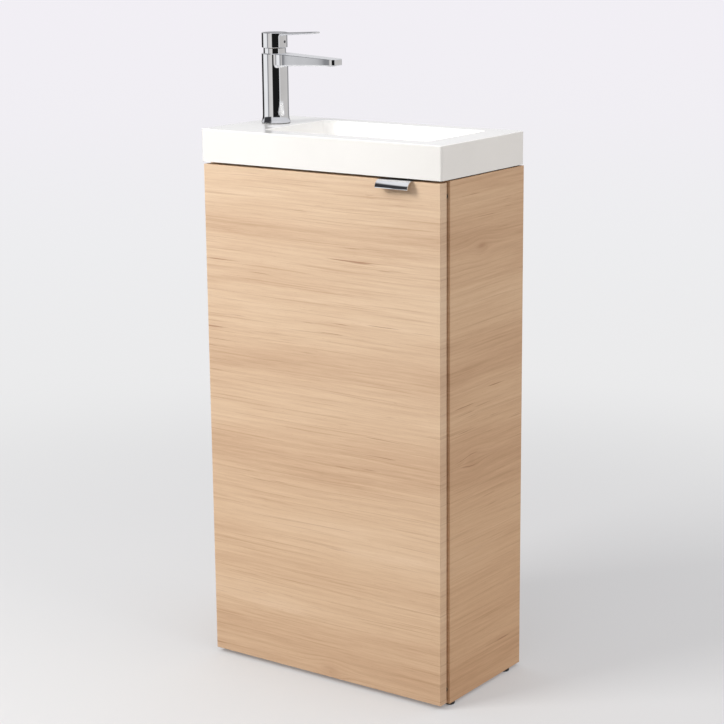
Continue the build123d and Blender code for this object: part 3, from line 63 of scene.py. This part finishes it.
# What every finish is made with: short names for shader nodes, so that a finish reads as a sum of its layers.
# Places are in metres, in the frame that the CAD and the scene share.
class Shade:
    """A socket in a finish's node tree. Arithmetic on it adds Math nodes."""

    def __init__(self, tree, socket):
        self.tree = tree
        self.socket = socket

    def node(self, kind, settings, values, out=0):
        """Adds one node: its settings first, then the values or links of its sockets."""
        made = self.tree.nodes.new(kind)
        for key, setting in settings.items():
            if key == "stops":
                band = made.color_ramp
                band.elements[0].position = setting[0][0]
                band.elements[1].position = setting[-1][0]
                for place, colour in setting[1:-1]:
                    band.elements.new(place)
                for stop, (place, colour) in zip(band.elements, setting):
                    stop.color = colour
            else:
                setattr(made, key, setting)
        for key, value in values.items():
            if isinstance(value, Shade):
                self.tree.links.new(value.socket, made.inputs[key])
            else:
                made.inputs[key].default_value = value
        return Shade(self.tree, made.outputs[out])

    def maths(self, operation, *values):
        """One Math node on these values."""
        return self.node("ShaderNodeMath", {"operation": operation}, dict(enumerate(values)))

    def __add__(self, other):
        return self.maths("ADD", self, other)

    def __sub__(self, other):
        return self.maths("SUBTRACT", self, other)

    def __rsub__(self, other):
        return self.maths("SUBTRACT", other, self)

    def __mul__(self, other):
        return self.maths("MULTIPLY", self, other)

    __radd__ = __add__


def tint(red, green, blue):
    """A colour as it looks on a screen, 0 to 255, made linear."""
    linear = []
    for level in (red, green, blue):
        level = level / 255
        linear.append(level / 12.92 if level <= 0.04045 else ((level + 0.055) / 1.055) ** 2.4)
    return (*linear, 1)


def new_finish(name, **constants):
    """A material, its shader with these constants set, and the place on the piece in metres."""
    material = bpy.data.materials.new(name)
    material.use_nodes = True
    shader = material.node_tree.nodes["Principled BSDF"]
    for key, value in constants.items():
        shader.inputs[key.replace("_", " ")].default_value = value
    coordinates = material.node_tree.nodes.new("ShaderNodeTexCoord")
    return material, shader, Shade(material.node_tree, coordinates.outputs["Object"])


def feed(shader, **links):
    """Links worked-out values into the shader."""
    for key, value in links.items():
        value.tree.links.new(value.socket, shader.inputs[key.replace("_", " ")])


def split(place):
    """The x, y and z of a place."""
    return [place.node("ShaderNodeSeparateXYZ", {}, {0: place}, axis) for axis in (0, 1, 2)]


def joined(x, y, z, tree_of):
    """One place from three numbers."""
    return tree_of.node("ShaderNodeCombineXYZ", {}, {0: x, 1: y, 2: z})


def noise(place, scale, detail=2.0, roughness=0.5):
    """Soft random clouds, about 0.5."""
    return place.node("ShaderNodeTexNoise", {}, {"Vector": place, "Scale": scale, "Detail": detail,
                                                 "Roughness": roughness})


def step(value, low, high, start=0.0, end=1.0):
    """A smooth change from start to end as the value goes from low to high."""
    return value.node("ShaderNodeMapRange", {"interpolation_type": "SMOOTHSTEP"},
                      {"Value": value, "From Min": low, "From Max": high, "To Min": start, "To Max": end})


def ramp(value, *stops):
    """Colours by value."""
    return value.node("ShaderNodeValToRGB", {"stops": stops}, {0: value})


def mixed(share, first, second, way="MIX"):
    """Two colours mixed by a share."""
    return share.node("ShaderNodeMix", {"data_type": "RGBA", "blend_type": way},
                      {0: share, 6: first, 7: second}, 2)


def bumped(height, strength, distance):
    """A surface normal from a height."""
    return height.node("ShaderNodeBump", {}, {"Height": height, "Strength": strength, "Distance": distance})


def dress(material, *names):
    """CAD nodes take a finish."""
    for name in names:
        for material_slot in cad[name].material_slots:
            material_slot.material = material


def plain_finish(name, colours, scale, roughness, bump=0.0, **constants):
    """A moulded, cast or rolled part: two near tones in clouds, uneven gloss and a fine skin.
    scale is the number of clouds to the metre, roughness its least and most."""
    material, shader, place = new_finish(name, **constants)
    clouds = noise(place, scale, 3.0)
    skin = noise(place, scale * 9, 2.0)
    smoothest, roughest = roughness
    feed(shader, Base_Color=ramp(clouds, (0.3, colours[0]), (0.7, colours[1])),
         Roughness=step(skin, 0.3, 0.7, smoothest, roughest))
    if bump:
        feed(shader, Normal=bumped(skin, bump, 0.0002))
    return material


# The studio's paper: a pale floor that rises in one sweep all round, far behind the unit.
# Near the unit it takes the lights and the soft shadow. Further out it only glows, lighter with distance.
FLOOR_RADIUS, FLOOR_SIDES = 3.4, 96
SWEEP_RINGS = ((7, 0), (8, 0.03), (9, 0.25), (9.8, 0.8), (10.2, 1.6), (10.4, 3), (10.4, 8))
LIT_WITHIN, UNLIT_BEYOND = 0.6, 2.0
PAPER_NEAR_GLOW = tint(124, 124, 125)


def clear_selection():
    """Nothing is selected in object mode."""
    bpy.ops.object.select_all(action="DESELECT")


def floor_circle(name, fill):
    """A level circle of the floor's size, filled or bare."""
    clear_selection()
    bpy.ops.mesh.primitive_circle_add(vertices=FLOOR_SIDES, radius=FLOOR_RADIUS, fill_type=fill)
    circle = bpy.context.object
    circle.name = name
    return circle


studio_floor = floor_circle("studio_floor", "NGON")
studio_sweep = floor_circle("studio_sweep", "NOTHING")
bpy.ops.object.mode_set(mode="EDIT")
bpy.ops.mesh.select_all(action="SELECT")
sweep_radius = FLOOR_RADIUS
for radius, rise in SWEEP_RINGS:
    bpy.ops.mesh.extrude_edges_move()
    growth = radius / sweep_radius
    bpy.ops.transform.resize(value=(growth, growth, 1), center_override=(0, 0, 0))
    work = bmesh.from_edit_mesh(studio_sweep.data)
    for corner in work.verts:
        if corner.select:
            corner.co.z = rise
    bmesh.update_edit_mesh(studio_sweep.data)
    sweep_radius = radius
bpy.ops.object.mode_set(mode="OBJECT")
bpy.ops.object.shade_smooth()
studio_sweep.visible_diffuse = False
studio_sweep.visible_glossy = False
studio_sweep.visible_shadow = False
studio_floor.visible_diffuse = False

paper, paper_shader, paper_place = new_finish("studio_paper", Roughness=0.95, Specular_IOR_Level=0.0,
                                              Emission_Strength=1.0)
paper_x, paper_y = split(paper_place)[:2]
reach = paper_x.maths("SQRT", paper_x * paper_x + paper_y * paper_y)
near_share = step(reach, LIT_WITHIN, UNLIT_BEYOND, 1.0, 0.0)
lit = ramp(noise(paper_place, 0.7), (0.3, tint(181, 181, 181)), (0.7, tint(184, 184, 184)))
far_glow = ramp(reach * 0.1, (0.0, tint(228, 228, 228)), (0.22, tint(235, 235, 236)),
                (0.4, tint(237, 237, 239)), (1.0, tint(242, 239, 245)))
feed(paper_shader, Base_Color=mixed(near_share, tint(0, 0, 0), lit),
     Emission_Color=mixed(near_share, far_glow, PAPER_NEAR_GLOW))
for cloth in (studio_floor, studio_sweep):
    cloth.data.materials.append(paper)


def studio_light(name, place, towards, side, watts, colour):
    """A square soft box that no chrome shows."""
    data = bpy.data.lights.new(name, "AREA")
    data.shape = "RECTANGLE"
    data.size = data.size_y = side
    data.energy = watts
    data.color = colour
    lamp = bpy.data.objects.new(name, data)
    bpy.context.scene.collection.objects.link(lamp)
    lamp.location = place
    lamp.rotation_euler = (Vector(towards) - Vector(place)).to_track_quat("-Z", "Y").to_euler()
    lamp.visible_glossy = False


# The lights: a large soft box in front on the left and a weak warm one on the right.
studio_light("front_left_softbox", place=(-1.1, -1.9, 2.05), towards=(0, 0, 0.92), side=1.1, watts=53,
             colour=(1.0, 0.99, 0.975))
studio_light("right_fill", place=(1.6, -0.1, 1.75), towards=(0, 0, 1.0), side=0.7, watts=5.5,
             colour=(1.0, 0.94, 0.88))

# The room: pale above, dim below, and dark behind the camera, which the chrome shows as a black band.
# The bearing is a share of a whole turn: 0.25 to the left of the unit, 0.5 in front of it, 0.75 to its right.
WALL_GREY, WALL_DIM = (0.30, 0.30, 0.31, 1), (0.03, 0.03, 0.03, 1)
WALL_WHITE, WALL_BLACK = (1.0, 1.0, 1.0, 1), (0.012, 0.012, 0.012, 1)
FRONT_WALL, SKY, GROUND, CEILING = ((0.05, 0.05, 0.055, 1), (0.74, 0.74, 0.76, 1), (0.24, 0.19, 0.15, 1),
                                    (0.94, 0.94, 0.96, 1))
room = bpy.data.worlds.new("studio_room")
bpy.context.scene.world = room
room.use_nodes = True
room_nodes = room.node_tree.nodes
direction = Shade(room.node_tree, room_nodes.new("ShaderNodeTexCoord").outputs["Generated"])
room_x, room_y, room_z = split(direction)
bearing = room_x.maths("ARCTAN2", room_x, 0 - room_y) * (1 / math.tau) + 0.5
around = ramp(bearing, (0.0, WALL_GREY), (0.09, WALL_GREY), (0.11, WALL_DIM), (0.26, WALL_DIM),
              (0.28, WALL_WHITE), (0.40, WALL_WHITE), (0.41, WALL_GREY), (0.43, WALL_GREY),
              (0.44, (0.72, 0.70, 0.68, 1)), (0.53, (0.80, 0.78, 0.76, 1)), (0.54, WALL_BLACK),
              (0.70, WALL_BLACK), (0.71, WALL_WHITE), (0.73, (0.62, 0.60, 0.58, 1)),
              (0.95, (0.66, 0.64, 0.62, 1)), (1.0, WALL_GREY))
front_wall = step(bearing, 0.26, 0.30) * step(bearing, 0.47, 0.51, 1.0, 0.0) * step(room_z, -0.02, 0.04)
above = mixed(front_wall, mixed(step(room_z, 0.02, 0.12), around, SKY), FRONT_WALL)
overhead = step(room_z, 0.5, 0.72)
below = step(room_z, -0.5, -0.3, 1.0, 0.0)
room_colour = mixed(overhead, mixed(below, above, GROUND), CEILING)
room_nodes["Background"].inputs["Strength"].default_value = 1.0
room.node_tree.links.new(room_colour.socket, room_nodes["Background"].inputs["Color"])

# The boards: 16 mm chipboard wrapped in light-oak foil, whose grain lies level on the door and the sides.
# The sides, floor, rails and shelf are cut square, drilled and held by cams and dowels.
KNOTS = ((0.2216, 0.6919), (0.1991, 0.3722), (-0.0934, 0.0177))
KNOT_LENGTH, KNOT_HEIGHT, KNOT_PULL = 0.024, 0.013, 0.75
GRAIN_WANDER = 0.016
HAIR_TINT, PORE_TINT, FLAW_TINT = tint(182, 140, 106), tint(178, 134, 98), tint(150, 92, 62)
# Painted shade: how much darker and warmer the foil is painted at the floor, where the light falls off.
PAINTED_FLOOR_SHADE = (1.0, 0.93, 0.86, 1)


def oak_foil(name, along, across, through, seed, knots=(), cast=(1, 1, 1, 1)):
    """Foil with printed oak grain. along, across and through pick the board's axes out of x, y and z.
    knots lists places along and across it, and cast is painted shade: what the wood's own colours are
    multiplied by, to darken a copy that stands in shade. Every copy is also painted darker and warmer towards
    the floor, as painted shade."""
    material, shader, place = new_finish(name, Roughness=0.5, Specular_IOR_Level=0.3)
    x, y, z = split(place)
    axes = {"x": x, "y": y, "z": z}
    length = axes[along[0]]
    for letter in along[1:]:
        length = length + axes[letter]
    height = axes[across]
    depth = axes[through] * 0.4 + seed
    dark_core = None

    def shaded(*levels):
        """A screen colour under the foil's cast of painted shade."""
        return tuple(channel * share for channel, share in zip(tint(*levels), cast))

    def grain(per_metre_along, per_metre_across, detail, roughness=0.5, layer=depth):
        """Clouds drawn out along the grain as it runs so far."""
        return noise(joined(length * per_metre_along, height * per_metre_across, layer, place), 1.0, detail,
                     roughness)

    for knot_along, knot_height in knots:
        off_along = (length - knot_along) * (1 / KNOT_LENGTH)
        off_height = (axes[across] - knot_height) * (1 / KNOT_HEIGHT)
        distance = off_along * off_along + off_height * off_height
        near = distance.maths("EXPONENT", distance * -0.5)
        height = height - (axes[across] - knot_height) * near * KNOT_PULL
        core = distance.maths("EXPONENT", distance * -3.0)
        dark_core = core if dark_core is None else dark_core + core
    height = height + (grain(1.7, 5.0, 2.0) - 0.5) * GRAIN_WANDER
    bands = grain(1.1, 15.0, 3.0)
    streaks = grain(6.0, 210.0, 3.0, 0.6)
    fibres = grain(40.0, 1000.0, 2.0)
    tone = bands * 0.62 + streaks * 0.42 + fibres * 0.16 - 0.10
    wood = ramp(tone, (0.30, shaded(206, 173, 143)), (0.44, shaded(221, 191, 161)),
                (0.56, shaded(231, 204, 174)), (0.72, shaded(240, 216, 189)))
    sparse = step(grain(3.0, 16.0, 1.0, layer=depth + 9.0), 0.46, 0.60)
    dashes = step(grain(11.0, 360.0, 1.5, layer=depth + 5.0), 0.67, 0.78) * sparse
    hairs = step(grain(5.0, 430.0, 1.5, layer=depth + 2.0), 0.57, 0.74)
    pores = step(grain(110.0, 1100.0, 1.0, layer=depth + 3.0), 0.64, 0.76)
    flaw = dashes * 0.62
    if dark_core is not None:
        flaw = flaw.maths("MAXIMUM", flaw, dark_core * step(streaks, 0.35, 0.65) * 0.42)
    printed = mixed(hairs * 0.34, wood, HAIR_TINT)
    printed = mixed(pores * 0.16, printed, PORE_TINT)
    printed = mixed(flaw, printed, FLAW_TINT)
    # Painted shade: every copy of the foil is multiplied darker and warmer from 0.8 m down to the floor.
    printed = mixed(step(z, 0.0, 0.8, 1.0, 0.0), printed, PAINTED_FLOOR_SHADE, "MULTIPLY")
    feed(shader, Base_Color=printed, Roughness=0.46 + streaks * 0.14,
         Normal=bumped(streaks * 0.6 + fibres * 0.4, 0.08, 0.0004))
    return material


oak_front = oak_foil("oak_foil_front", "xy", "z", "x", 1.3, KNOTS)
# The sides take the same foil with painted shade: a darker, warmer copy for the boards that face away from
# the soft box.
oak_side_painted_shade = oak_foil("oak_foil_side", "xy", "z", "x", 1.3, KNOTS, (0.93, 0.85, 0.76, 1))
oak_level = oak_foil("oak_foil_level", "x", "y", "z", 4.1)
oak_rail = oak_foil("oak_foil_rail", "x", "z", "y", 7.7)
dress(oak_side_painted_shade, "side_panel_left", "side_panel_right")
dress(oak_level, "bottom_panel", "shelf")
dress(oak_rail, "top_front_rail", "back_top_rail", "back_bottom_rail")

# Flat-pack fittings: zinc cams, steel bolts and beech dowels, pushed and turned home when the boards meet.
zinc = plain_finish("cast_zinc", (tint(168, 170, 174), tint(190, 192, 196)), scale=300,
                    roughness=(0.32, 0.48), bump=0.15, Metallic=1.0)
screw_steel = plain_finish("zinc_plated_steel", (tint(188, 188, 192), tint(206, 206, 208)), scale=420,
                           roughness=(0.22, 0.34), bump=0.08, Metallic=1.0)
beech, beech_shader, beech_place = new_finish("beech")
beech_x, beech_y, beech_z = split(beech_place)
beech_grain = noise(joined(beech_x * 60, beech_y * 900, beech_z * 900, beech_place), 1.0, 3.0)
feed(beech_shader, Base_Color=ramp(beech_grain, (0.3, tint(196, 156, 112)), (0.7, tint(222, 188, 146))),
     Roughness=0.5 + beech_grain * 0.25, Normal=bumped(beech_grain, 0.2, 0.0003))
dress(zinc, "cam_locks")
dress(screw_steel, "cam_bolts", "shelf_pins")
dress(beech, "wood_dowels")

# The feet: four black nylon glides nailed under the side boards.
glide_black = plain_finish("glide_nylon", (tint(18, 18, 19), tint(30, 30, 31)), scale=500,
                           roughness=(0.42, 0.6), bump=0.2)
dress(glide_black, "floor_glides")

# The bead: grey silicone run along the top of the boards, on which the basin is bedded. Its dark grey is
# partly painted shade, which darkens the joint under the basin into a dark line.
silicone = plain_finish("silicone", (tint(58, 56, 54), tint(72, 70, 68)), scale=180,
                        roughness=(0.35, 0.5), bump=0.1)
dress(silicone, "sealant_bead")

# The basin: one white glazed casting, a flat deck for the tap on the left and a sunken bowl on the right.
glaze = plain_finish("white_glaze", (tint(244, 243, 240), tint(247, 246, 243)), scale=14,
                     roughness=(0.06, 0.11), Specular_IOR_Level=0.5, Coat_Weight=0.3, Coat_Roughness=0.03)
dress(glaze, "basin")

# The waste: a chromed flange and push plug in the bowl, with brass and rubber below.
chrome = plain_finish("polished_chrome", (tint(226, 227, 230), tint(232, 233, 236)), scale=40,
                      roughness=(0.025, 0.055), Metallic=1.0)
rubber = plain_finish("seal_rubber", (tint(24, 24, 24), tint(36, 35, 34)), scale=600,
                      roughness=(0.6, 0.8), bump=0.2)
brass = plain_finish("turned_brass", (tint(196, 158, 92), tint(214, 178, 112)), scale=260,
                     roughness=(0.22, 0.36), bump=0.1, Metallic=1.0)
dress(chrome, "waste_body", "plug_cap")
dress(rubber, "waste_flange_seal", "waste_lower_seal", "plug_seal")
dress(brass, "waste_backnut", "plug_guide")
dress(screw_steel, "plug_stem")

# The bottle trap: white polypropylene, hand-tightened nuts with grips round them.
trap_plastic = plain_finish("trap_polypropylene", (tint(232, 232, 230), tint(242, 242, 240)), scale=120,
                            roughness=(0.3, 0.42), bump=0.12)
dress(trap_plastic, "trap_inlet_nut", "trap_body", "trap_cup", "trap_outlet_nut")

# The tap: a chromed brass column with the spout cast on, a neck nut, and a cap with a flat lever.
# Under the cap a plastic cartridge mixes the water. A stud and a nut below the basin hold the tap down.
cartridge_plastic = plain_finish("cartridge_plastic", (tint(196, 198, 200), tint(214, 216, 218)), scale=300,
                                 roughness=(0.4, 0.5))
aerator_plastic = plain_finish("aerator_plastic", (tint(150, 152, 155), tint(176, 178, 180)), scale=500,
                               roughness=(0.35, 0.5))
indicator = plain_finish("indicator_plastic", (tint(70, 70, 74), tint(92, 92, 96)), scale=900,
                         roughness=(0.2, 0.3))
dress(rubber, "tap_base_gasket")
dress(chrome, "tap_body", "cartridge_nut", "lever_handle")
dress(aerator_plastic, "tap_aerator")
dress(cartridge_plastic, "tap_cartridge", "cartridge_carrier")
dress(screw_steel, "lever_pivot_pin", "lever_grub_screw", "tap_fixing_washer")
dress(brass, "cartridge_stem", "tap_fixing_stud", "tap_fixing_nut")
dress(indicator, "temperature_indicator")

# How the tap's two castings are modelled: a cylinder is cut into rings, some of its side faces are drawn out
# towards the bowl, and a smooth skin goes over all of it. The skin draws a ring in, so rings start larger.
column_low, column_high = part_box("tap_body")
nut_low, nut_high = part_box("cartridge_nut")
column_x = (nut_low[0] + nut_high[0]) / 2
column_y = (column_low[1] + column_high[1]) / 2
ROUND_SIDES, SKIN_LEVELS = 32, 2
SKIN_SHRINK = (2 + math.cos(math.tau / ROUND_SIDES)) / 3
SAME_LEVEL, SAME_PLACE = 0.0001, 0.00001
END_RIM, END_FIELD = 0.0010, 0.0060


def new_piece(name):
    """The primitive just added gets its name, and its place moves into its mesh."""
    piece = bpy.context.object
    piece.name = name
    bpy.ops.object.transform_apply(location=True, rotation=True, scale=True)
    bpy.ops.object.mode_set(mode="EDIT")
    return piece


def upright_cylinder(name, radius, low, high):
    """A cylinder round the tap's axis, which has this radius once the skin is on, opened for editing."""
    clear_selection()
    bpy.ops.mesh.primitive_cylinder_add(vertices=ROUND_SIDES, radius=radius / SKIN_SHRINK, depth=high - low,
                                        end_fill_type="NGON", rotation=(0, 0, math.tau / ROUND_SIDES / 2),
                                        location=(column_x, column_y, (low + high) / 2))
    return new_piece(name)


def slice_at(*heights):
    """Level cuts all round."""
    for height in heights:
        bpy.ops.mesh.select_all(action="SELECT")
        bpy.ops.mesh.bisect(plane_co=(0, 0, height), plane_no=(0, 0, 1))


def pick(piece, wanted, kind="VERT"):
    """Selects the corners, edges or faces that are wanted, in edit mode."""
    bpy.ops.mesh.select_mode(type=kind)
    bpy.ops.mesh.select_all(action="DESELECT")
    work = bmesh.from_edit_mesh(piece.data)
    group = {"VERT": work.verts, "EDGE": work.edges, "FACE": work.faces}[kind]
    for part in group:
        if wanted(part):
            part.select_set(True)
    work.select_flush_mode()
    bmesh.update_edit_mesh(piece.data)


def pick_end(piece, level):
    """Selects the round end face at this height."""
    pick(piece, lambda face: (len(face.verts) == ROUND_SIDES
                              and abs(face.calc_center_median().z - level) < SAME_LEVEL), "FACE")


def firm_end(piece, level):
    """Two rings in the end face at this height, which keep it flat and its rim crisp under the skin."""
    pick_end(piece, level)
    bpy.ops.mesh.inset(thickness=END_RIM)
    bpy.ops.mesh.inset(thickness=END_FIELD)


def pick_root(piece, low, high, radius, half_width):
    """Selects the side faces, towards the bowl and between two heights, that are to be drawn out."""
    def wanted(face):
        middle = face.calc_center_median()
        return (low < middle.z < high and middle.x > column_x + 0.5 * radius
                and abs(middle.y - column_y) < half_width and abs(face.normal.z) < 0.1)
    pick(piece, wanted, "FACE")


def draw_out(steps, top):
    """Draws the selected faces out. Each step says how far from the tap's axis it ends, its width and its
    thickness as shares of the root's, and how far its top has risen."""
    wide_before, tall_before, rise_before = 1.0, 1.0, 0.0
    for distance, wide, tall, rise in steps:
        bpy.ops.mesh.extrude_region_move()
        bpy.ops.transform.resize(value=(0, wide / wide_before, tall / tall_before),
                                 center_override=(column_x + distance, column_y, top + rise_before))
        bpy.ops.transform.translate(value=(0, 0, rise - rise_before))
        wide_before, tall_before, rise_before = wide, tall, rise


def finish_piece(piece, material, body, node):
    """Outward faces, a smooth skin, its finish and its place in the frame."""
    bpy.ops.mesh.select_all(action="SELECT")
    bpy.ops.mesh.remove_doubles(threshold=SAME_PLACE)
    bpy.ops.mesh.normals_make_consistent(inside=False)
    bpy.ops.object.mode_set(mode="OBJECT")
    skin = piece.modifiers.new("smooth_skin", "SUBSURF")
    skin.levels = skin.render_levels = SKIN_LEVELS
    bpy.ops.object.modifier_apply(modifier=skin.name)
    bpy.ops.object.shade_smooth()
    piece.data.materials.append(material)
    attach(piece, body)
    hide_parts(node)


# The column and spout: the foot flares out to the basin, and the head is drawn out into the spout.
# It is deep at its root, thin at its tip, and blends into the column below.
COLUMN_RADIUS = 0.0205
foot_radius = column_x - column_low[0]
FOOT_CURVE = ((0.0, foot_radius), (0.0008, foot_radius), (0.002, 0.0226), (0.0045, 0.0215), (0.009, 0.0207),
              (0.014, COLUMN_RADIUS))
HEAD_RINGS_DOWN = (0.0035, 0.0012)
SPOUT_ROOT_TALL, SPOUT_HALF = 0.0185, 0.0151
BLEND_RINGS = (-0.012, -0.004, 0.0, 0.003)
SPOUT_TIP_INSET = 0.0012
spout_under = column_high[2] - SPOUT_ROOT_TALL
spout_long = column_high[0] - column_x
SPOUT_STEPS = ((0.0225, 1.06, 1.04, 0.0), (0.0255, 1.0, 1.0, 0.0), (0.032, 0.985, 0.955, -0.0006),
               (0.075, 0.91, 0.73, -0.0028), (spout_long - 0.0095, 0.855, 0.545, -0.0051),
               (spout_long - 0.0040, 0.80, 0.535, -0.0052), (spout_long - 0.0011, 0.62, 0.53, -0.0053),
               (spout_long, 0.50, 0.48, -0.0056))
column = upright_cylinder("tap_column_and_spout", COLUMN_RADIUS, column_low[2], column_high[2])
slice_at(*[column_low[2] + rise for rise, radius in FOOT_CURVE[1:]])
slice_at(*[spout_under + rise for rise in BLEND_RINGS])
slice_at(*[column_high[2] - drop for drop in HEAD_RINGS_DOWN])
for rise, radius in FOOT_CURVE:
    level = column_low[2] + rise
    pick(column, lambda corner: abs(corner.co.z - level) < SAME_LEVEL)
    growth = radius / COLUMN_RADIUS
    bpy.ops.transform.resize(value=(growth, growth, 1), center_override=(column_x, column_y, level))
for end_level in (column_low[2], column_high[2]):
    firm_end(column, end_level)
pick_root(column, spout_under, column_high[2] - SAME_PLACE, COLUMN_RADIUS, SPOUT_HALF)
draw_out(SPOUT_STEPS, column_high[2])
bpy.ops.mesh.inset(thickness=SPOUT_TIP_INSET)
finish_piece(column, chrome, "cabinet", "tap_body")

# The lever: a deep chromed cap over the cartridge with a thin flat blade drawn out of its rim.
# It is cast in one, hollow from below, and held on the stem by a grub screw behind the dot.
CAP_RADIUS, CAP_WALL, CAP_HOLLOW = 0.020, 0.0020, 0.0150
CAP_EDGE, HOLLOW_EDGE, HOLLOW_INSET = 0.0010, 0.0006, 0.0010
BLADE_RISE, BLADE_THICKNESS, BLADE_HALF, BLADE_ROOT_RING = 0.003, 0.0038, 0.0105, 0.0012
cap_low, cap_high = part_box("lever_handle")
cap_top = cap_high[2] - BLADE_RISE
blade_under = cap_top - BLADE_THICKNESS
blade_long = cap_high[0] - column_x
BLADE_STEPS = ((0.0215, 1.02, 1.0, 0.0), (0.0245, 1.0, 0.98, 0.0001), (0.050, 0.93, 0.90, 0.0013),
               (blade_long - 0.0045, 0.83, 0.81, 0.0028), (blade_long - 0.0010, 0.68, 0.78, BLADE_RISE),
               (blade_long, 0.55, 0.62, BLADE_RISE - 0.0002))
lever = upright_cylinder("tap_cap_and_lever", CAP_RADIUS, cap_low[2], cap_top)
slice_at(cap_low[2] + CAP_EDGE, blade_under - BLADE_ROOT_RING, blade_under, cap_top - CAP_EDGE)
firm_end(lever, cap_top)
pick_end(lever, cap_low[2])
for wall_share in (0.25, 0.5, 0.25):
    bpy.ops.mesh.inset(thickness=CAP_WALL * wall_share)
for rise in (HOLLOW_EDGE, CAP_HOLLOW - 2 * HOLLOW_EDGE, HOLLOW_EDGE):
    bpy.ops.mesh.extrude_region_move(TRANSFORM_OT_translate={"value": (0, 0, rise)})
bpy.ops.mesh.inset(thickness=HOLLOW_INSET)
pick_root(lever, blade_under - SAME_PLACE, cap_top - SAME_PLACE, CAP_RADIUS, BLADE_HALF)
draw_out(BLADE_STEPS, cap_top)
finish_piece(lever, chrome, "tap_lever", "lever_handle")

# The hinges: nickel-plated steel cups in the door, arms on cast plates screwed to the left side.
hinge_steel = plain_finish("nickel_plated_steel", (tint(196, 194, 190), tint(212, 210, 206)), scale=260,
                           roughness=(0.16, 0.26), bump=0.05, Metallic=1.0)
dress(hinge_steel, "hinge_arms", "hinge_cups")
dress(zinc, "hinge_mounting_plates")
dress(screw_steel, "hinge_plate_screws", "hinge_arm_screws", "hinge_pins", "cup_screws")

# The door: an 18 mm board wrapped in the same foil, with a metal pull on its top edge and two rubber bumpers.
dress(oak_front, "door_panel")
dress(chrome, "door_handle")
dress(screw_steel, "handle_screws")
dress(rubber, "door_bumpers")

# The pull: one chromed strip, flat where the screws go through it and rolled down over the front of the door.
# It starts as a flat sheet with no thickness, whose front edge is spun a quarter turn.
GRIP_THICKNESS, GRIP_ROLL, GRIP_SINK, GRIP_STEPS = 0.00135, 0.0125, 0.0008, 14
GRIP_EDGE, GRIP_EDGE_STEPS, GRIP_EDGE_ANGLE, GRIP_SMOOTH_ANGLE = 0.0004, 3, math.radians(50), math.radians(35)
grip_low, grip_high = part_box("door_handle")
grip_middle = grip_high[2] - GRIP_SINK
grip_bend = grip_low[1] + GRIP_ROLL
clear_selection()
bpy.ops.mesh.primitive_plane_add(size=1, location=((grip_low[0] + grip_high[0]) / 2,
                                                   (grip_bend + grip_high[1]) / 2, grip_middle))
bpy.ops.transform.resize(value=(grip_high[0] - grip_low[0], grip_high[1] - grip_bend, 1))
grip = new_piece("door_pull")
pick(grip, lambda edge: all(abs(corner.co.y - grip_bend) < SAME_LEVEL for corner in edge.verts), "EDGE")
bpy.ops.mesh.spin(steps=GRIP_STEPS, angle=math.radians(-90), axis=(1, 0, 0),
                  center=(0, grip_bend, grip_middle - GRIP_ROLL + GRIP_THICKNESS / 2))
bpy.ops.mesh.select_all(action="SELECT")
bpy.ops.mesh.remove_doubles(threshold=SAME_PLACE)
bpy.ops.mesh.normals_make_consistent(inside=False)
bpy.ops.object.mode_set(mode="OBJECT")
sheet = grip.modifiers.new("sheet_metal", "SOLIDIFY")
sheet.thickness = GRIP_THICKNESS
sheet.offset = 0
bpy.ops.object.modifier_apply(modifier=sheet.name)
broken_edges = grip.modifiers.new("broken_edges", "BEVEL")
broken_edges.width = GRIP_EDGE
broken_edges.segments = GRIP_EDGE_STEPS
broken_edges.angle_limit = GRIP_EDGE_ANGLE
bpy.ops.object.modifier_apply(modifier=broken_edges.name)
bpy.ops.object.shade_smooth_by_angle(angle=GRIP_SMOOTH_ANGLE)
grip.data.materials.append(chrome)
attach(grip, "door")
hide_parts("door_handle")
